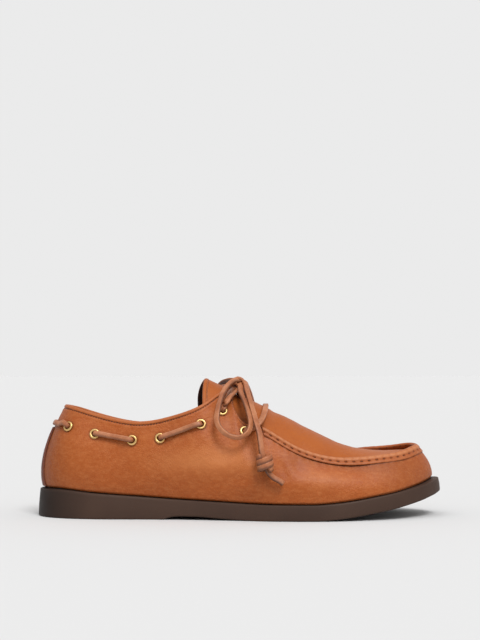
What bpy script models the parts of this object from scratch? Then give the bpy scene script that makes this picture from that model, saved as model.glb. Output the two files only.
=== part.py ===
"""Derby shoe with a moccasin toe and a leather thong, for the right foot.

Metres, +Z up. The toe points along +X and the inner side of the foot faces +Y. The origin lies on the floor
under the middle of the heel. Across the shoe, lateral is the outer side (-Y) and medial the inner side (+Y).
"""
import math

import bpy
import bmesh
import numpy as np
from mathutils import Matrix, Vector

MM = 0.001

# Sizes of the sole
SOLE_LENGTH = 0.298
BALL_WIDTH = 0.105
HEEL_WIDTH = 0.070
HEEL_CENTRE = 0.037
HEEL_THICKNESS = 0.0209
FOREFOOT_THICKNESS = 0.0113
TOE_SPRING = 0.0175
ARCH_RISE = 0.0024
SIDE_DRAFT = 0.0012
EDGE_ROUND = 0.0010
LEDGE_SIDE = 0.0024
LEDGE_HEEL = 0.0040
LEDGE_TOE = 0.0060
LEDGE_SLOPE = 0.33

# Sizes of the upper, its heights taken from the top of the sole
HEEL_RISE = 0.064
INSTEP_RISE = 0.077
TOE_RISE = 0.026
TONGUE_RISE = 0.088
WALL = 0.0020
GAP = 0.0003
SEAT_GAP = 0.0005
TONGUE_GAP = 0.0009
TONGUE_LAP = 0.0085
INSOLE_THICKNESS = 0.0025
INSOLE_GAP = 0.0012
BULGE_LEVEL = 0.44
CROWN_POWER = 2.1

# Sizes of the seam, binding and backstay
SEAM_HEIGHT = 0.0056
SEAM_PROUD = 0.0010
SEAM_ROLL = 0.0018
APRON_DROP = 0.0022
EDGE_STEP = 0.0004
BINDING_HEIGHT = 0.0020
BINDING_PROUD = 0.0005
BACKSTAY_TOP_WIDTH = 0.018
BACKSTAY_WIDTH = 0.032
BACKSTAY_PROUD = 0.0014

# Sizes of the eyelets and the thong
LACE_DIAMETER = 0.0031
EYELET_BORE = 0.0041
EYELET_OUTER = 0.0074
EYELET_BARREL = 0.0004
EYELET_FLANGE = 0.0008
HEEL_EYELET_DROP = 0.0152
EYELET_DROP = 0.0136
FLAP_EYELET_DROP = 0.0155
FRONT_EYELET_DROP = 0.0084
LACE_TURN = 0.0019
BARREL_LENGTH = 0.0145
BARREL_DIAMETER = 0.0115

# A row for each cross section from heel to toe. Along is a share of the sole's length from the heel, across a share
# of the breadth there, swell a share of the upper's rise, and lift what the medial top stands above the lateral one.
SECTION_COLUMNS = ("sole_along", "lateral", "medial", "swell",
                   "top_along", "top_lateral", "top_medial", "top_height", "top_lift")
SECTIONS = {
    "heel back": (0.000, 0.000, 0.000, 0.109, 0.066, 0.000, 0.000, 0.914, 0.000),
    "heel corner": (0.028, -0.300, 0.293, 0.112, 0.082, -0.180, 0.180, 0.902, -0.008),
    "heel side": (0.120, -0.486, 0.479, 0.096, 0.126, -0.307, 0.307, 0.853, -0.020),
    "quarter": (0.250, -0.508, 0.473, 0.063, 0.238, -0.445, 0.438, 0.751, -0.034),
    "waist": (0.383, -0.455, 0.382, 0.080, 0.339, -0.382, 0.371, 0.806, -0.034),
    "flap back": (0.453, -0.447, 0.371, 0.104, 0.420, -0.312, 0.302, 0.930, -0.030),
    "flap top": (0.507, -0.451, 0.386, 0.157, 0.464, -0.200, 0.200, 1.016, -0.013),
    "flap front": (0.544, -0.467, 0.414, 0.137, 0.483, -0.257, 0.252, 0.926, 0.006),
    "flap foot": (0.574, -0.481, 0.441, 0.111, 0.508, -0.314, 0.305, 0.798, 0.006),
    "throat": (0.601, -0.489, 0.462, 0.094, 0.545, -0.346, 0.329, 0.785, 0.012),
    "seam start": (0.634, -0.495, 0.483, 0.086, 0.585, -0.357, 0.324, 0.736, 0.015),
    "ball": (0.708, -0.493, 0.500, 0.094, 0.651, -0.352, 0.314, 0.634, 0.036),
    "toes": (0.790, -0.452, 0.486, 0.103, 0.742, -0.324, 0.305, 0.590, 0.055),
    "toe back": (0.869, -0.381, 0.429, 0.095, 0.828, -0.267, 0.281, 0.644, 0.070),
    "toe side": (0.936, -0.262, 0.329, 0.098, 0.893, -0.181, 0.219, 0.722, 0.070),
    "toe corner": (0.985, -0.105, 0.200, 0.108, 0.930, -0.076, 0.148, 0.822, 0.030),
    "toe tip": (1.000, 0.048, 0.048, 0.145, 0.943, 0.033, 0.033, 0.845, 0.000),
}

# The top of the sole, as shares of what the heel adds to the forefoot's thickness
HEEL_ROWS = ((0.00, 0.97), (0.05, 1.00), (0.15, 0.74), (0.25, 0.52), (0.35, 0.31),
             (0.45, 0.16), (0.55, 0.03), (0.62, 0.00), (1.00, 0.00))
# The toe's rise off the floor, as shares of the toe spring
SPRING_ROWS = ((0.00, 0.00), (0.67, 0.00), (0.725, 0.06), (0.775, 0.16), (0.825, 0.30), (0.872, 0.44),
               (0.906, 0.57), (0.94, 0.71), (0.975, 0.89), (1.00, 1.00))
# The hollow under the waist, ahead of the heel's edge, as shares of the arch rise
ARCH_ROWS = ((0.00, 0.00), (0.31, 0.00), (0.338, 0.85), (0.36, 1.00), (0.40, 0.96), (0.445, 0.60),
             (0.49, 0.25), (0.54, 0.00), (1.00, 0.00))
# The rise of the upper along the shoe, each value one of the named sizes
RISE_ROWS = ((0.00, HEEL_RISE), (0.46, INSTEP_RISE), (1.00, TOE_RISE))

# The sheet of apron and tongue, a row for each section of the upper that it crosses: its crown above the sole as a
# share of the tongue's rise, its bow towards the toe as a share of the length, and its run down inside the flap as a
# share of the tongue's lap
SHEET_ROWS = (
    (4.93, 0.978, 0.000, 0.94),
    (5.2, 0.962, 0.000, 1.00),
    (5.6, 0.945, 0.000, 1.00),
    (6.0, 0.930, 0.000, 0.94),
    (7.0, 0.895, 0.000, 0.70),
    (8.0, 0.852, 0.000, 0.24),
    (9.0, 0.800, 0.000, 0.00),
    (10.0, 0.736, 0.000, 0.00),
    (10.6, 0.673, 0.002, 0.00),
    (11.0, 0.625, 0.003, 0.00),
    (11.5, 0.531, 0.006, 0.00),
    (12.0, 0.440, 0.010, 0.00),
    (12.5, 0.375, 0.014, 0.00),
    (13.0, 0.333, 0.019, 0.00),
    (13.6, 0.303, 0.024, 0.00),
    (14.2, 0.282, 0.024, 0.00),
    (15.0, 0.270, 0.010, 0.00),
)

# Eyelets of one side, from the heel to the throat: place along the shoe and depth below the edge
EYELETS = (
    (0.081, HEEL_EYELET_DROP),
    (0.148, HEEL_EYELET_DROP),
    (0.240, EYELET_DROP),
    (0.308, EYELET_DROP),
    (0.406, EYELET_DROP),
    (0.457, FLAP_EYELET_DROP),
    (0.512, FRONT_EYELET_DROP),
)

# Routes of the bow's strands in millimetres, chosen by hand
KNOT_AT = (110.6, -1.0, 96.8)
KNOT_SIZE = (0.0110, 0.0130, 0.0100)
LACE_TO_KNOT = ((101.6, -32.0, 82.6), (104.6, -27.2, 87.4), (107.6, -18.5, 90.2), (109.4, -7.4, 92.6))
NEAR_LOOP = (
    (108.2, -7.6, 99.4), (103.6, -15.0, 96.4), (100.8, -22.5, 92.5), (98.7, -29.0, 88.1), (96.4, -39.4, 79.3),
    (95.5, -45.0, 71.2), (97.7, -48.2, 65.9), (103.8, -50.2, 60.8), (110.9, -50.8, 59.3), (117.1, -49.8, 62.2),
    (119.5, -46.4, 68.1), (118.0, -39.5, 76.1), (114.3, -26.5, 85.9), (112.6, -18.5, 90.5), (112.0, -8.6, 95.0),
)
FAR_LOOP = (
    (109.0, 5.4, 99.0), (103.6, 12.8, 99.0), (97.6, 20.0, 96.4), (93.6, 31.5, 88.0), (93.2, 39.5, 79.0),
    (96.8, 44.5, 70.0), (104.5, 47.5, 63.9), (112.5, 48.0, 63.8), (117.0, 46.0, 70.0), (116.8, 37.5, 80.0),
    (114.6, 22.0, 90.0), (112.2, 6.6, 94.8),
)
NEAR_END = (
    (115.6, -5.0, 97.2), (117.0, -16.0, 92.4), (119.2, -27.0, 84.8), (121.0, -35.4, 78.6), (123.7, -46.6, 68.8),
    (125.3, -50.4, 63.6), (126.7, -54.4, 53.4), (127.3, -55.5, 49.2),
)
NEAR_BARREL = (129.4, -56.2, 41.6)
NEAR_TAIL = ((132.3, -56.0, 33.0), (135.3, -55.6, 31.5), (138.9, -55.2, 29.5), (142.4, -54.8, 27.2))
FAR_END = (
    (115.6, 3.4, 97.4), (116.9, 9.0, 95.2), (119.6, 19.5, 88.4), (122.8, 34.5, 77.0), (124.8, 42.0, 69.5),
    (126.4, 46.6, 61.0), (128.6, 51.6, 50.0), (129.4, 53.0, 46.0),
)
FAR_BARREL = (130.0, 54.4, 37.8)
FAR_TAIL = ((130.9, 55.0, 29.6), (132.8, 55.4, 27.2), (135.6, 55.4, 24.6), (138.2, 55.2, 21.4))

# The front bar's route over the apron in millimetres, between the bores of the front eyelets
BAR_ROUTE = (
    (121.0, -41.0, 66.0), (125.4, -37.8, 68.6), (128.6, -30.2, 73.3), (130.6, -16.0, 79.0), (131.2, 0.0, 81.0),
    (130.6, 16.0, 78.8), (128.4, 29.2, 73.3), (125.4, 36.8, 68.6), (121.0, 40.0, 66.0),
)

# How finely the curved forms are divided
RING_STEPS = 84
WALL_STEPS = 6
SHEET_STEPS = 7
EYELET_STEPS = 10
BACKSTAY_STEPS = 9
LOOP_STEPS = 22
END_STEPS = 14
TAIL_STEPS = 5
BAR_STEPS = 11


def blend(value, start, end):
    """A smooth step from 0 at start to 1 at end."""
    share = min(max((value - start) / (end - start), 0.0), 1.0)
    return share * share * (3.0 - 2.0 * share)


def through(rows, place):
    """A smooth curve through rows of (place, value), with no overshoot."""
    places = [row[0] for row in rows]
    values = [row[1] for row in rows]
    place = min(max(place, places[0]), places[-1])
    last = len(rows) - 2
    span = min(max(int(np.searchsorted(places, place, side="right")) - 1, 0), last)
    slopes = np.diff(values) / np.diff(places)

    def tangent(k):
        if k == 0 or k == len(rows) - 1:
            return 0.0
        before = slopes[k - 1]
        after = slopes[k]
        if before * after <= 0.0:
            return 0.0
        return 2.0 * before * after / (before + after)

    width = places[span + 1] - places[span]
    t = (place - places[span]) / width
    rise = values[span + 1] - values[span]
    start = tangent(span) * width
    end = tangent(span + 1) * width
    return values[span] + t * (start + t * (3 * rise - 2 * start - end + t * (start + end - 2 * rise)))


def breadth(along):
    """Width that the across shares refer to."""
    return HEEL_WIDTH + (BALL_WIDTH - HEEL_WIDTH) * blend(along, 0.20, 0.55)


def rise(along):
    """Rise of the upper above the sole, between the named heights."""
    return float(np.interp(along, [row[0] for row in RISE_ROWS], [row[1] for row in RISE_ROWS]))


def along_of(x):
    return min(max((x + HEEL_CENTRE) / SOLE_LENGTH, 0.0), 1.0)


def x_of(along):
    return along * SOLE_LENGTH - HEEL_CENTRE


def seat(x):
    """Height of the sole's top at x."""
    along = along_of(x)
    heel = (HEEL_THICKNESS - FOREFOOT_THICKNESS) * through(HEEL_ROWS, along)
    return FOREFOOT_THICKNESS + heel + TOE_SPRING * through(SPRING_ROWS, along)


def ground(x):
    """Height of the sole's underside at x."""
    along = along_of(x)
    return ARCH_RISE * through(ARCH_ROWS, along) + TOE_SPRING * through(SPRING_ROWS, along)


class Ring:
    """A smooth closed curve through points, one for each section of the shoe in turn."""

    def __init__(self, knots, points):
        self.knots = knots
        self.points = np.array(points)
        count = len(points)
        spans = np.diff(knots)
        matrix = np.zeros((count, count))
        slopes = (np.roll(self.points, -1, axis=0) - self.points) / spans[:, None]
        for k in range(count):
            matrix[k, k - 1] += spans[k - 1]
            matrix[k, k] += 2.0 * (spans[k - 1] + spans[k])
            matrix[k, (k + 1) % count] += spans[k]
        self.bends = np.linalg.solve(matrix, 6.0 * (slopes - np.roll(slopes, 1, axis=0)))

    def at(self, row):
        """The point at a row number, which may lie between two rows."""
        count = len(self.points)
        row = row % count
        k = int(row)
        after = (k + 1) % count
        span = self.knots[k + 1] - self.knots[k]
        t = row - k
        s = 1.0 - t
        cubic = (s ** 3 - s) * self.bends[k] + (t ** 3 - t) * self.bends[after]
        return s * self.points[k] + t * self.points[after] + span * span / 6.0 * cubic


def section_ring():
    """Each section's points in ring order: heel, lateral side, toe tip, then back along the medial side."""
    names = SECTION_COLUMNS
    rows = list(SECTIONS.values())
    order = [(row, "lateral", 0.0) for row in rows]
    order += [(row, "medial", 1.0) for row in reversed(rows[1:-1])]
    sole = []
    top = []
    swell = []
    for row, side, lifted in order:
        value = dict(zip(names, row))
        width = breadth(value["sole_along"])
        x = x_of(value["sole_along"])
        sole.append((x, width * value[side], 0.0))
        top_x = x_of(value["top_along"])
        height = value["top_height"] + lifted * value["top_lift"]
        z = seat(top_x) + height * rise(value["top_along"])
        top.append((top_x, width * value["top_" + side], z))
        swell.append((value["swell"] * rise(value["sole_along"]), 0.0, 0.0))
    steps = []
    for k in range(len(order)):
        after = (k + 1) % len(order)
        low = np.linalg.norm(np.subtract(sole[after], sole[k]))
        high = np.linalg.norm(np.subtract(top[after], top[k]))
        steps.append(0.5 * (low + high))
    knots = np.concatenate([[0.0], np.cumsum(steps)])
    return Ring(knots, sole), Ring(knots, top), Ring(knots, swell)


SOLE_RING, TOP_RING, SWELL_RING = section_ring()
ROWS = len(SOLE_RING.points)
# The rows where seam and binding end, and the rows in a metre of the heel's outline
SEAM_START_ROW = 9.2
BINDING_END_ROW = 5.7
ROW_PER_METRE = 1.0 / np.linalg.norm(SOLE_RING.points[1] - SOLE_RING.points[0])


def outward(row):
    """The level direction that points out of the sole's outline."""
    step = SOLE_RING.at(row + 0.05) - SOLE_RING.at(row - 0.05)
    normal = np.array([step[1], -step[0], 0.0])
    return normal / np.linalg.norm(normal)


def ledge(row):
    """How far the upper's foot stands inside the sole's outline."""
    along = along_of(SOLE_RING.at(row)[0])
    heel = (LEDGE_HEEL - LEDGE_SIDE) * (1.0 - blend(along, 0.0, 0.10))
    toe = (LEDGE_TOE - LEDGE_SIDE) * blend(along, 0.88, 1.0)
    return LEDGE_SIDE + heel + toe


def outline(row, inset):
    """A point of the sole's outline, moved inwards, without its height."""
    return SOLE_RING.at(row) - outward(row) * inset


def foot(row):
    """Lower edge of the upper, just above the sole."""
    point = outline(row, ledge(row))
    point[2] = seat(point[0]) + SEAT_GAP
    return point


def wall(row, v):
    """Outer face of the upper at a row, from its foot (v 0) over the swell to its top edge (v 1)."""
    low = foot(row)
    high = TOP_RING.at(row)
    middle = 0.5 * (low + high) + outward(row) * SWELL_RING.at(row)[0]
    middle[2] = low[2] + BULGE_LEVEL * (high[2] - low[2])
    pull = 2.0 * middle - 0.5 * (low + high)
    return (1 - v) ** 2 * low + 2 * v * (1 - v) * pull + v * v * high


def wall_frame(row, v):
    """Point, outward normal and upward direction of the wall."""
    point = wall(row, v)
    around = wall(row + 0.02, v) - wall(row - 0.02, v)
    upward = wall(row, v) - wall(row, v - 0.02)
    upward /= np.linalg.norm(upward)
    normal = np.cross(upward, around)
    normal /= np.linalg.norm(normal)
    if np.dot(normal, outward(row)) < 0.0:
        normal = -normal
    return point, normal, upward


def level(row, drop):
    """The v of a point that lies drop below the top edge, measured on the wall."""
    steps = np.linspace(1.0, 0.0, 31)
    points = np.array([wall(row, v) for v in steps])
    run = np.concatenate([[0.0], np.cumsum(np.linalg.norm(np.diff(points, axis=0), axis=1))])
    return float(np.interp(drop, run, steps))


def wall_length(row):
    """Length of the wall from top edge to foot."""
    points = np.array([wall(row, v) for v in np.linspace(1.0, 0.0, 31)])
    return float(np.linalg.norm(np.diff(points, axis=0), axis=1).sum())


def on_wall(row, drop, offset):
    """A point drop below the top edge and offset out of the outer face. A negative drop goes past the edge."""
    v = level(row, max(drop, 0.0))
    point, normal, upward = wall_frame(row, v)
    return point + normal * offset + upward * max(-drop, 0.0)


def row_at(along, drop, start, end):
    """The row between start and end whose wall point at that drop lies at a place along the shoe."""
    target = x_of(along)
    low = start
    high = end
    rising = on_wall(high, drop, 0.0)[0] > on_wall(low, drop, 0.0)[0]
    for _ in range(24):
        middle = 0.5 * (low + high)
        if (on_wall(middle, drop, 0.0)[0] < target) == rising:
            low = middle
        else:
            high = middle
    return 0.5 * (low + high)


def clear_scene():
    for thing in list(bpy.data.objects):
        bpy.data.objects.remove(thing, do_unlink=True)


def collection(name):
    group = bpy.data.collections.new(name)
    bpy.context.scene.collection.children.link(group)
    return group


def material(name, colour, roughness, metallic=0.0):
    made = bpy.data.materials.new(name)
    made.use_nodes = True
    shader = made.node_tree.nodes["Principled BSDF"]
    shader.inputs["Base Color"].default_value = (*colour, 1.0)
    shader.inputs["Roughness"].default_value = roughness
    shader.inputs["Metallic"].default_value = metallic
    made.diffuse_color = (*colour, 1.0)
    return made


def add_mesh(name, points, faces, group, finish):
    """A mesh object with smooth faces, its normals turned outwards."""
    mesh = bpy.data.meshes.new(name)
    mesh.from_pydata([tuple(p) for p in points], [], faces)
    shape = bmesh.new()
    shape.from_mesh(mesh)
    bmesh.ops.recalc_face_normals(shape, faces=shape.faces)
    shape.to_mesh(mesh)
    shape.free()
    mesh.shade_smooth()
    mesh.set_sharp_from_angle(angle=math.radians(40))
    made = bpy.data.objects.new(name, mesh)
    mesh.materials.append(finish)
    group.objects.link(made)
    return made


def strip_faces(rows, columns, round_rows, round_columns):
    """Quads between the points of a grid, joined end to end where it goes round."""
    faces = []
    for i in range(rows if round_rows else rows - 1):
        for j in range(columns if round_columns else columns - 1):
            k = (i + 1) % rows
            m = (j + 1) % columns
            faces.append((i * columns + j, i * columns + m, k * columns + m, k * columns + j))
    return faces


def add_sheet(name, grid, round_rows, thickness, group, finish):
    """A leather sheet: an open grid of points on its outer face, with Solidify inwards."""
    columns = len(grid[0])
    points = [p for line in grid for p in line]
    faces = strip_faces(len(grid), columns, round_rows, False)
    made = add_mesh(name, points, faces, group, finish)
    centre = Vector(np.mean(points, axis=0))
    centre.z = 0.0
    if sum(face.area * face.normal.dot(face.center - centre) for face in made.data.polygons) < 0.0:
        made.data.flip_normals()
    solid = made.modifiers.new("thickness", "SOLIDIFY")
    solid.thickness = thickness
    solid.offset = -1.0
    solid.use_even_offset = True
    return made


def add_loft(name, profiles, group, finish, round_rows=False):
    """A solid between closed profiles, with capped ends unless it goes round."""
    columns = len(profiles[0])
    points = [p for profile in profiles for p in profile]
    faces = strip_faces(len(profiles), columns, round_rows, True)
    if not round_rows:
        faces.append(tuple(range(columns)))
        last = (len(profiles) - 1) * columns
        faces.append(tuple(last + j for j in range(columns)))
    return add_mesh(name, points, faces, group, finish)


def add_pad(name, rings, group, finish):
    """A solid from outline rings, lowest first. Strips from side to side fill it below and above."""
    count = len(rings[0])
    points = [p for ring in rings for p in ring]
    faces = strip_faces(len(rings), count, False, True)
    for first in (0, (len(rings) - 1) * count):
        faces.append((first, first + 1, first + count - 1))
        for j in range(1, (count - 1) // 2):
            faces.append((first + j, first + j + 1, first + count - j - 1, first + count - j))
        if count % 2 == 0:
            faces.append((first + count // 2 - 1, first + count // 2, first + count // 2 + 1))
    return add_mesh(name, points, faces, group, finish)


def add_tube(name, points, diameter, group, finish):
    """A round strand along points, with filled ends."""
    curve = bpy.data.curves.new(name, "CURVE")
    curve.dimensions = "3D"
    curve.bevel_depth = diameter / 2
    curve.bevel_resolution = 2
    curve.use_fill_caps = True
    line = curve.splines.new("POLY")
    line.points.add(len(points) - 1)
    for target, point in zip(line.points, points):
        target.co = (*point, 1.0)
    curve.materials.append(finish)
    made = bpy.data.objects.new(name, curve)
    group.objects.link(made)
    return made


def smooth_route(route, count):
    """Points spread evenly on a smooth curve through a route in millimetres."""
    points = np.array(route) * MM
    steps = np.linalg.norm(np.diff(points, axis=0), axis=1)
    knots = np.concatenate([[0.0], np.cumsum(steps)])
    fine = []
    for place in np.linspace(0.0, knots[-1], count):
        span = min(max(int(np.searchsorted(knots, place)) - 1, 0), len(points) - 2)
        before = points[max(span - 1, 0)]
        start = points[span]
        end = points[span + 1]
        after = points[min(span + 2, len(points) - 1)]
        t = (place - knots[span]) / steps[span]
        fine.append(0.5 * (2 * start + (end - before) * t + (2 * before - 5 * start + 4 * end - after) * t * t
                           + (3 * start - before - 3 * end + after) * t ** 3))
    return fine


def ring_rows():
    """Rows spread evenly round the shoe."""
    return np.linspace(0.0, ROWS, RING_STEPS, endpoint=False)


def make_sole(group, finish):
    """One rubber unit: tread, side with a rounded foot, sloped ledge and a top that carries the upper."""
    tread = []
    low_edge = []
    high_edge = []
    top = []
    for row in ring_rows():
        point = outline(row, EDGE_ROUND)
        point[2] = ground(point[0])
        tread.append(point)
        point = outline(row, 0.0)
        point[2] = ground(point[0]) + EDGE_ROUND
        low_edge.append(point)
        point = outline(row, SIDE_DRAFT)
        point[2] = seat(point[0]) - LEDGE_SLOPE * (ledge(row) - SIDE_DRAFT)
        high_edge.append(point)
        point = outline(row, ledge(row))
        point[2] = seat(point[0])
        top.append(point)
    return add_pad("sole", [tread, low_edge, high_edge, top], group, finish)


def make_insole(group, finish):
    """Thin sock on the sole, inside the upper's foot."""
    below = []
    above = []
    for row in ring_rows():
        point = outline(row, ledge(row) + WALL + INSOLE_GAP)
        point[2] = seat(point[0]) + SEAT_GAP
        below.append(point)
        above.append(point + (0.0, 0.0, INSOLE_THICKNESS))
    return add_pad("insole", [below, above], group, finish)


def make_upper(group, finish):
    """Wall, quarters and flaps: one hollow shell, open above and below."""
    grid = []
    for row in ring_rows():
        grid.append([wall(row, v) for v in np.linspace(0.0, 1.0, WALL_STEPS + 1)])
    return add_sheet("upper", grid, True, WALL, group, finish)


def sheet_section(row, crown, bow, lap):
    """Points across the apron or tongue, from its lateral edge to its medial one, on its outer face."""
    is_tongue = lap > 0.0
    inside = -(WALL + (TONGUE_GAP if is_tongue else SEAT_GAP))
    drop = 0.0 if is_tongue else APRON_DROP
    low = drop + max(lap * TONGUE_LAP, 2 * EDGE_STEP)
    middle = 0.5 * (drop + low)
    other = ROWS - row
    left = on_wall(row, drop, inside)
    right = on_wall(other, drop, inside)
    centre = 0.5 * (left + right)
    reach = bow * SOLE_LENGTH
    crown_rise = seat(centre[0] + reach) + crown * TONGUE_RISE - centre[2]
    points = [on_wall(row, low, inside), on_wall(row, middle, inside)]
    for q in np.linspace(-1.0, 1.0, 2 * SHEET_STEPS - 1):
        point = left + (right - left) * 0.5 * (q + 1.0)
        point[0] += reach * (1.0 - q * q)
        point[2] += crown_rise * (1.0 - abs(q) ** CROWN_POWER)
        points.append(point)
    points += [on_wall(other, middle, inside), on_wall(other, low, inside)]
    return points


def make_apron_tongue(group, finish):
    """The sheet over toe box and instep, which runs on as the tongue."""
    grid = [sheet_section(*row) for row in SHEET_ROWS]
    return add_sheet("apron_tongue", grid, False, WALL, group, finish)


def band_profile(row, height, proud, roll):
    """Closed outline of a band that caps the upper's top edge: up its outer face and over the edge."""
    return [
        on_wall(row, height, SEAT_GAP),
        on_wall(row, height * 0.5, SEAT_GAP),
        on_wall(row, -SEAT_GAP, SEAT_GAP),
        on_wall(row, -SEAT_GAP, -WALL),
        on_wall(row, -SEAT_GAP - roll * 0.6, -WALL),
        on_wall(row, -SEAT_GAP - roll, -WALL * 0.5),
        on_wall(row, -SEAT_GAP - roll * 0.7, SEAT_GAP + proud * 0.6),
        on_wall(row, 0.0, SEAT_GAP + proud),
        on_wall(row, height * 0.5, SEAT_GAP + proud),
        on_wall(row, height * 0.95, SEAT_GAP + proud * 0.85),
    ]


def make_moc_seam(group, finish):
    """Raised seam over the joint of wall and apron, from one flap round the toe to the other."""
    profiles = []
    for row in ring_rows():
        if SEAM_START_ROW <= row <= ROWS - SEAM_START_ROW:
            profiles.append(band_profile(row, SEAM_HEIGHT, SEAM_PROUD, SEAM_ROLL))
    return add_loft("moc_seam", profiles, group, finish)


def make_collar_binding(group, finish):
    """Rolled edge of the collar, from one flap round the heel to the other."""
    profiles = []
    for row in np.concatenate([ring_rows() - ROWS, ring_rows()]):
        if abs(row) <= BINDING_END_ROW:
            profiles.append(band_profile(row, BINDING_HEIGHT, BINDING_PROUD, BINDING_PROUD))
    return add_loft("collar_binding", profiles, group, finish)


def make_backstay(group, finish):
    """Raised strip down the back of the heel, from under the thong to the sole."""
    top = HEEL_EYELET_DROP + LACE_DIAMETER
    bottom = wall_length(0.0) - 2 * GAP
    profiles = []
    faces = ((GAP, (-0.5, -0.25, 0.0, 0.25, 0.5)), (GAP + BACKSTAY_PROUD, (0.46, 0.23, 0.0, -0.23, -0.46)))
    for drop in np.linspace(top, bottom, BACKSTAY_STEPS):
        width = BACKSTAY_TOP_WIDTH + (BACKSTAY_WIDTH - BACKSTAY_TOP_WIDTH) * (drop - top) / (bottom - top)
        profile = []
        for offset, across in faces:
            for share in across:
                row = share * width * ROW_PER_METRE
                profile.append(on_wall(row, drop, offset))
        profiles.append(profile)
    return add_loft("backstay", profiles, group, finish)


def eyelet_rows():
    """Row, drop and name of every eyelet, lateral ones first."""
    places = []
    for number, (along, drop) in enumerate(EYELETS, start=1):
        row = row_at(along, drop, 0.3, 9.0)
        places.append((row, drop, "eyelet_lateral_%d" % number))
    for number, (along, drop) in enumerate(EYELETS, start=1):
        row = row_at(along, drop, ROWS - 9.0, ROWS - 0.3)
        places.append((row, drop, "eyelet_medial_%d" % number))
    return places


def wall_matrix(row, drop):
    """Axes on the wall: +Z out of it, with the origin on its outer face."""
    point, normal, upward = wall_frame(row, level(row, drop))
    z_axis = Vector(normal)
    y_axis = Vector(upward)
    x_axis = y_axis.cross(z_axis).normalized()
    y_axis = z_axis.cross(x_axis)
    made = Matrix((x_axis, y_axis, z_axis)).transposed().to_4x4()
    made.translation = Vector(point)
    return made


def make_eyelets(group, finish):
    """Brass rings, each a turned flange with a barrel through the wall."""
    bore = EYELET_BORE / 2
    barrel = bore + EYELET_BARREL
    outer = EYELET_OUTER / 2
    top = SEAT_GAP + EYELET_FLANGE
    profile = ((outer * 0.80, top), (outer, SEAT_GAP), (barrel, SEAT_GAP),
               (barrel, -WALL - GAP), (bore, -WALL - GAP), (bore * 1.1, top))
    mesh = bpy.data.meshes.new("eyelet")
    count = len(profile)
    mesh.from_pydata([(r, 0.0, z) for r, z in profile], [(k, (k + 1) % count) for k in range(count)], [])
    mesh.materials.append(finish)
    for row, drop, name in eyelet_rows():
        made = bpy.data.objects.new(name, mesh)
        made.matrix_world = wall_matrix(row, drop)
        turned = made.modifiers.new("turned", "SCREW")
        turned.steps = EYELET_STEPS
        turned.render_steps = EYELET_STEPS
        turned.use_merge_vertices = True
        turned.merge_threshold = 0.00001
        turned.use_smooth_shade = True
        group.objects.link(made)


def cut_eyelet_holes(upper, cutters):
    """Holes through the wall for the barrels, with clearance."""
    shape = bmesh.new()
    for row, drop, name in eyelet_rows():
        radius = EYELET_BORE / 2 + EYELET_BARREL + GAP
        bmesh.ops.create_cone(shape, cap_ends=True, segments=EYELET_STEPS, radius1=radius, radius2=radius,
                              depth=4 * WALL, matrix=wall_matrix(row, drop))
    mesh = bpy.data.meshes.new("eyelet_holes")
    shape.to_mesh(mesh)
    shape.free()
    tool = bpy.data.objects.new("eyelet_holes", mesh)
    tool.hide_render = True
    tool.display_type = "WIRE"
    cutters.objects.link(tool)
    cut = upper.modifiers.new("eyelet holes", "BOOLEAN")
    cut.operation = "DIFFERENCE"
    cut.object = tool


def lace_height(inside):
    """Distance of the thong's middle from the wall's outer face, on a run between two eyelets."""
    if inside:
        return -(WALL + 2 * GAP + LACE_DIAMETER / 2)
    return EYELET_FLANGE + GAP + LACE_DIAMETER / 2


def lace_pass(row, drop, before, after, comes_out):
    """Points of the thong through one bore, between the eyelets before and after it."""
    place = wall_matrix(row, drop)

    def turn(towards, outside):
        way = place.inverted() @ Vector(towards)
        way.z = 0.0
        way.normalize()
        if outside:
            bend = EYELET_FLANGE + GAP + LACE_DIAMETER / 4
            return [Vector((0.0, 0.0, bend)), way * LACE_TURN + Vector((0.0, 0.0, bend + LACE_TURN))]
        bend = -(WALL + GAP + LACE_DIAMETER / 8)
        return [Vector((0.0, 0.0, bend)), way * LACE_TURN + Vector((0.0, 0.0, bend - LACE_TURN))]

    first = turn(before, not comes_out)
    second = turn(after, comes_out)
    points = [first[1], first[0], second[0], second[1]]
    return [np.array(place @ point) for point in points]


def lace_run(start, end, inside, count):
    """Points of a run between two eyelets, along the wall."""
    points = []
    for share in np.linspace(0.0, 1.0, count + 2)[1:-1]:
        row = start[0] + (end[0] - start[0]) * share
        drop = start[1] + (end[1] - start[1]) * share
        points.append(on_wall(row, drop, lace_height(inside)))
    return points


def make_side_lace(group, finish):
    """The thong: from the knot in through a flap eyelet, along the collar, round the heel and back to the knot."""
    places = eyelet_rows()
    lateral = places[:6]
    medial = [(row - ROWS, drop, name) for row, drop, name in places[7:13]]
    stops = list(reversed(lateral)) + medial
    near = [np.array(point) * MM for point in reversed(LACE_TO_KNOT)]
    far = [point * (1.0, -1.0, 1.0) for point in reversed(near)]
    points = list(near)
    inside = False
    for k, (row, drop, name) in enumerate(stops):
        before = near[-1] if k == 0 else on_wall(stops[k - 1][0], stops[k - 1][1], 0.0)
        after = far[0] if k == len(stops) - 1 else on_wall(stops[k + 1][0], stops[k + 1][1], 0.0)
        points += lace_pass(row, drop, before, after, inside)
        inside = not inside
        if k < len(stops) - 1:
            round_heel = k == len(lateral) - 1
            points += lace_run(stops[k], stops[k + 1], inside, 4 if round_heel else 1)
    points += far
    return add_tube("side_lace", points, LACE_DIAMETER, group, finish)


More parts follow.
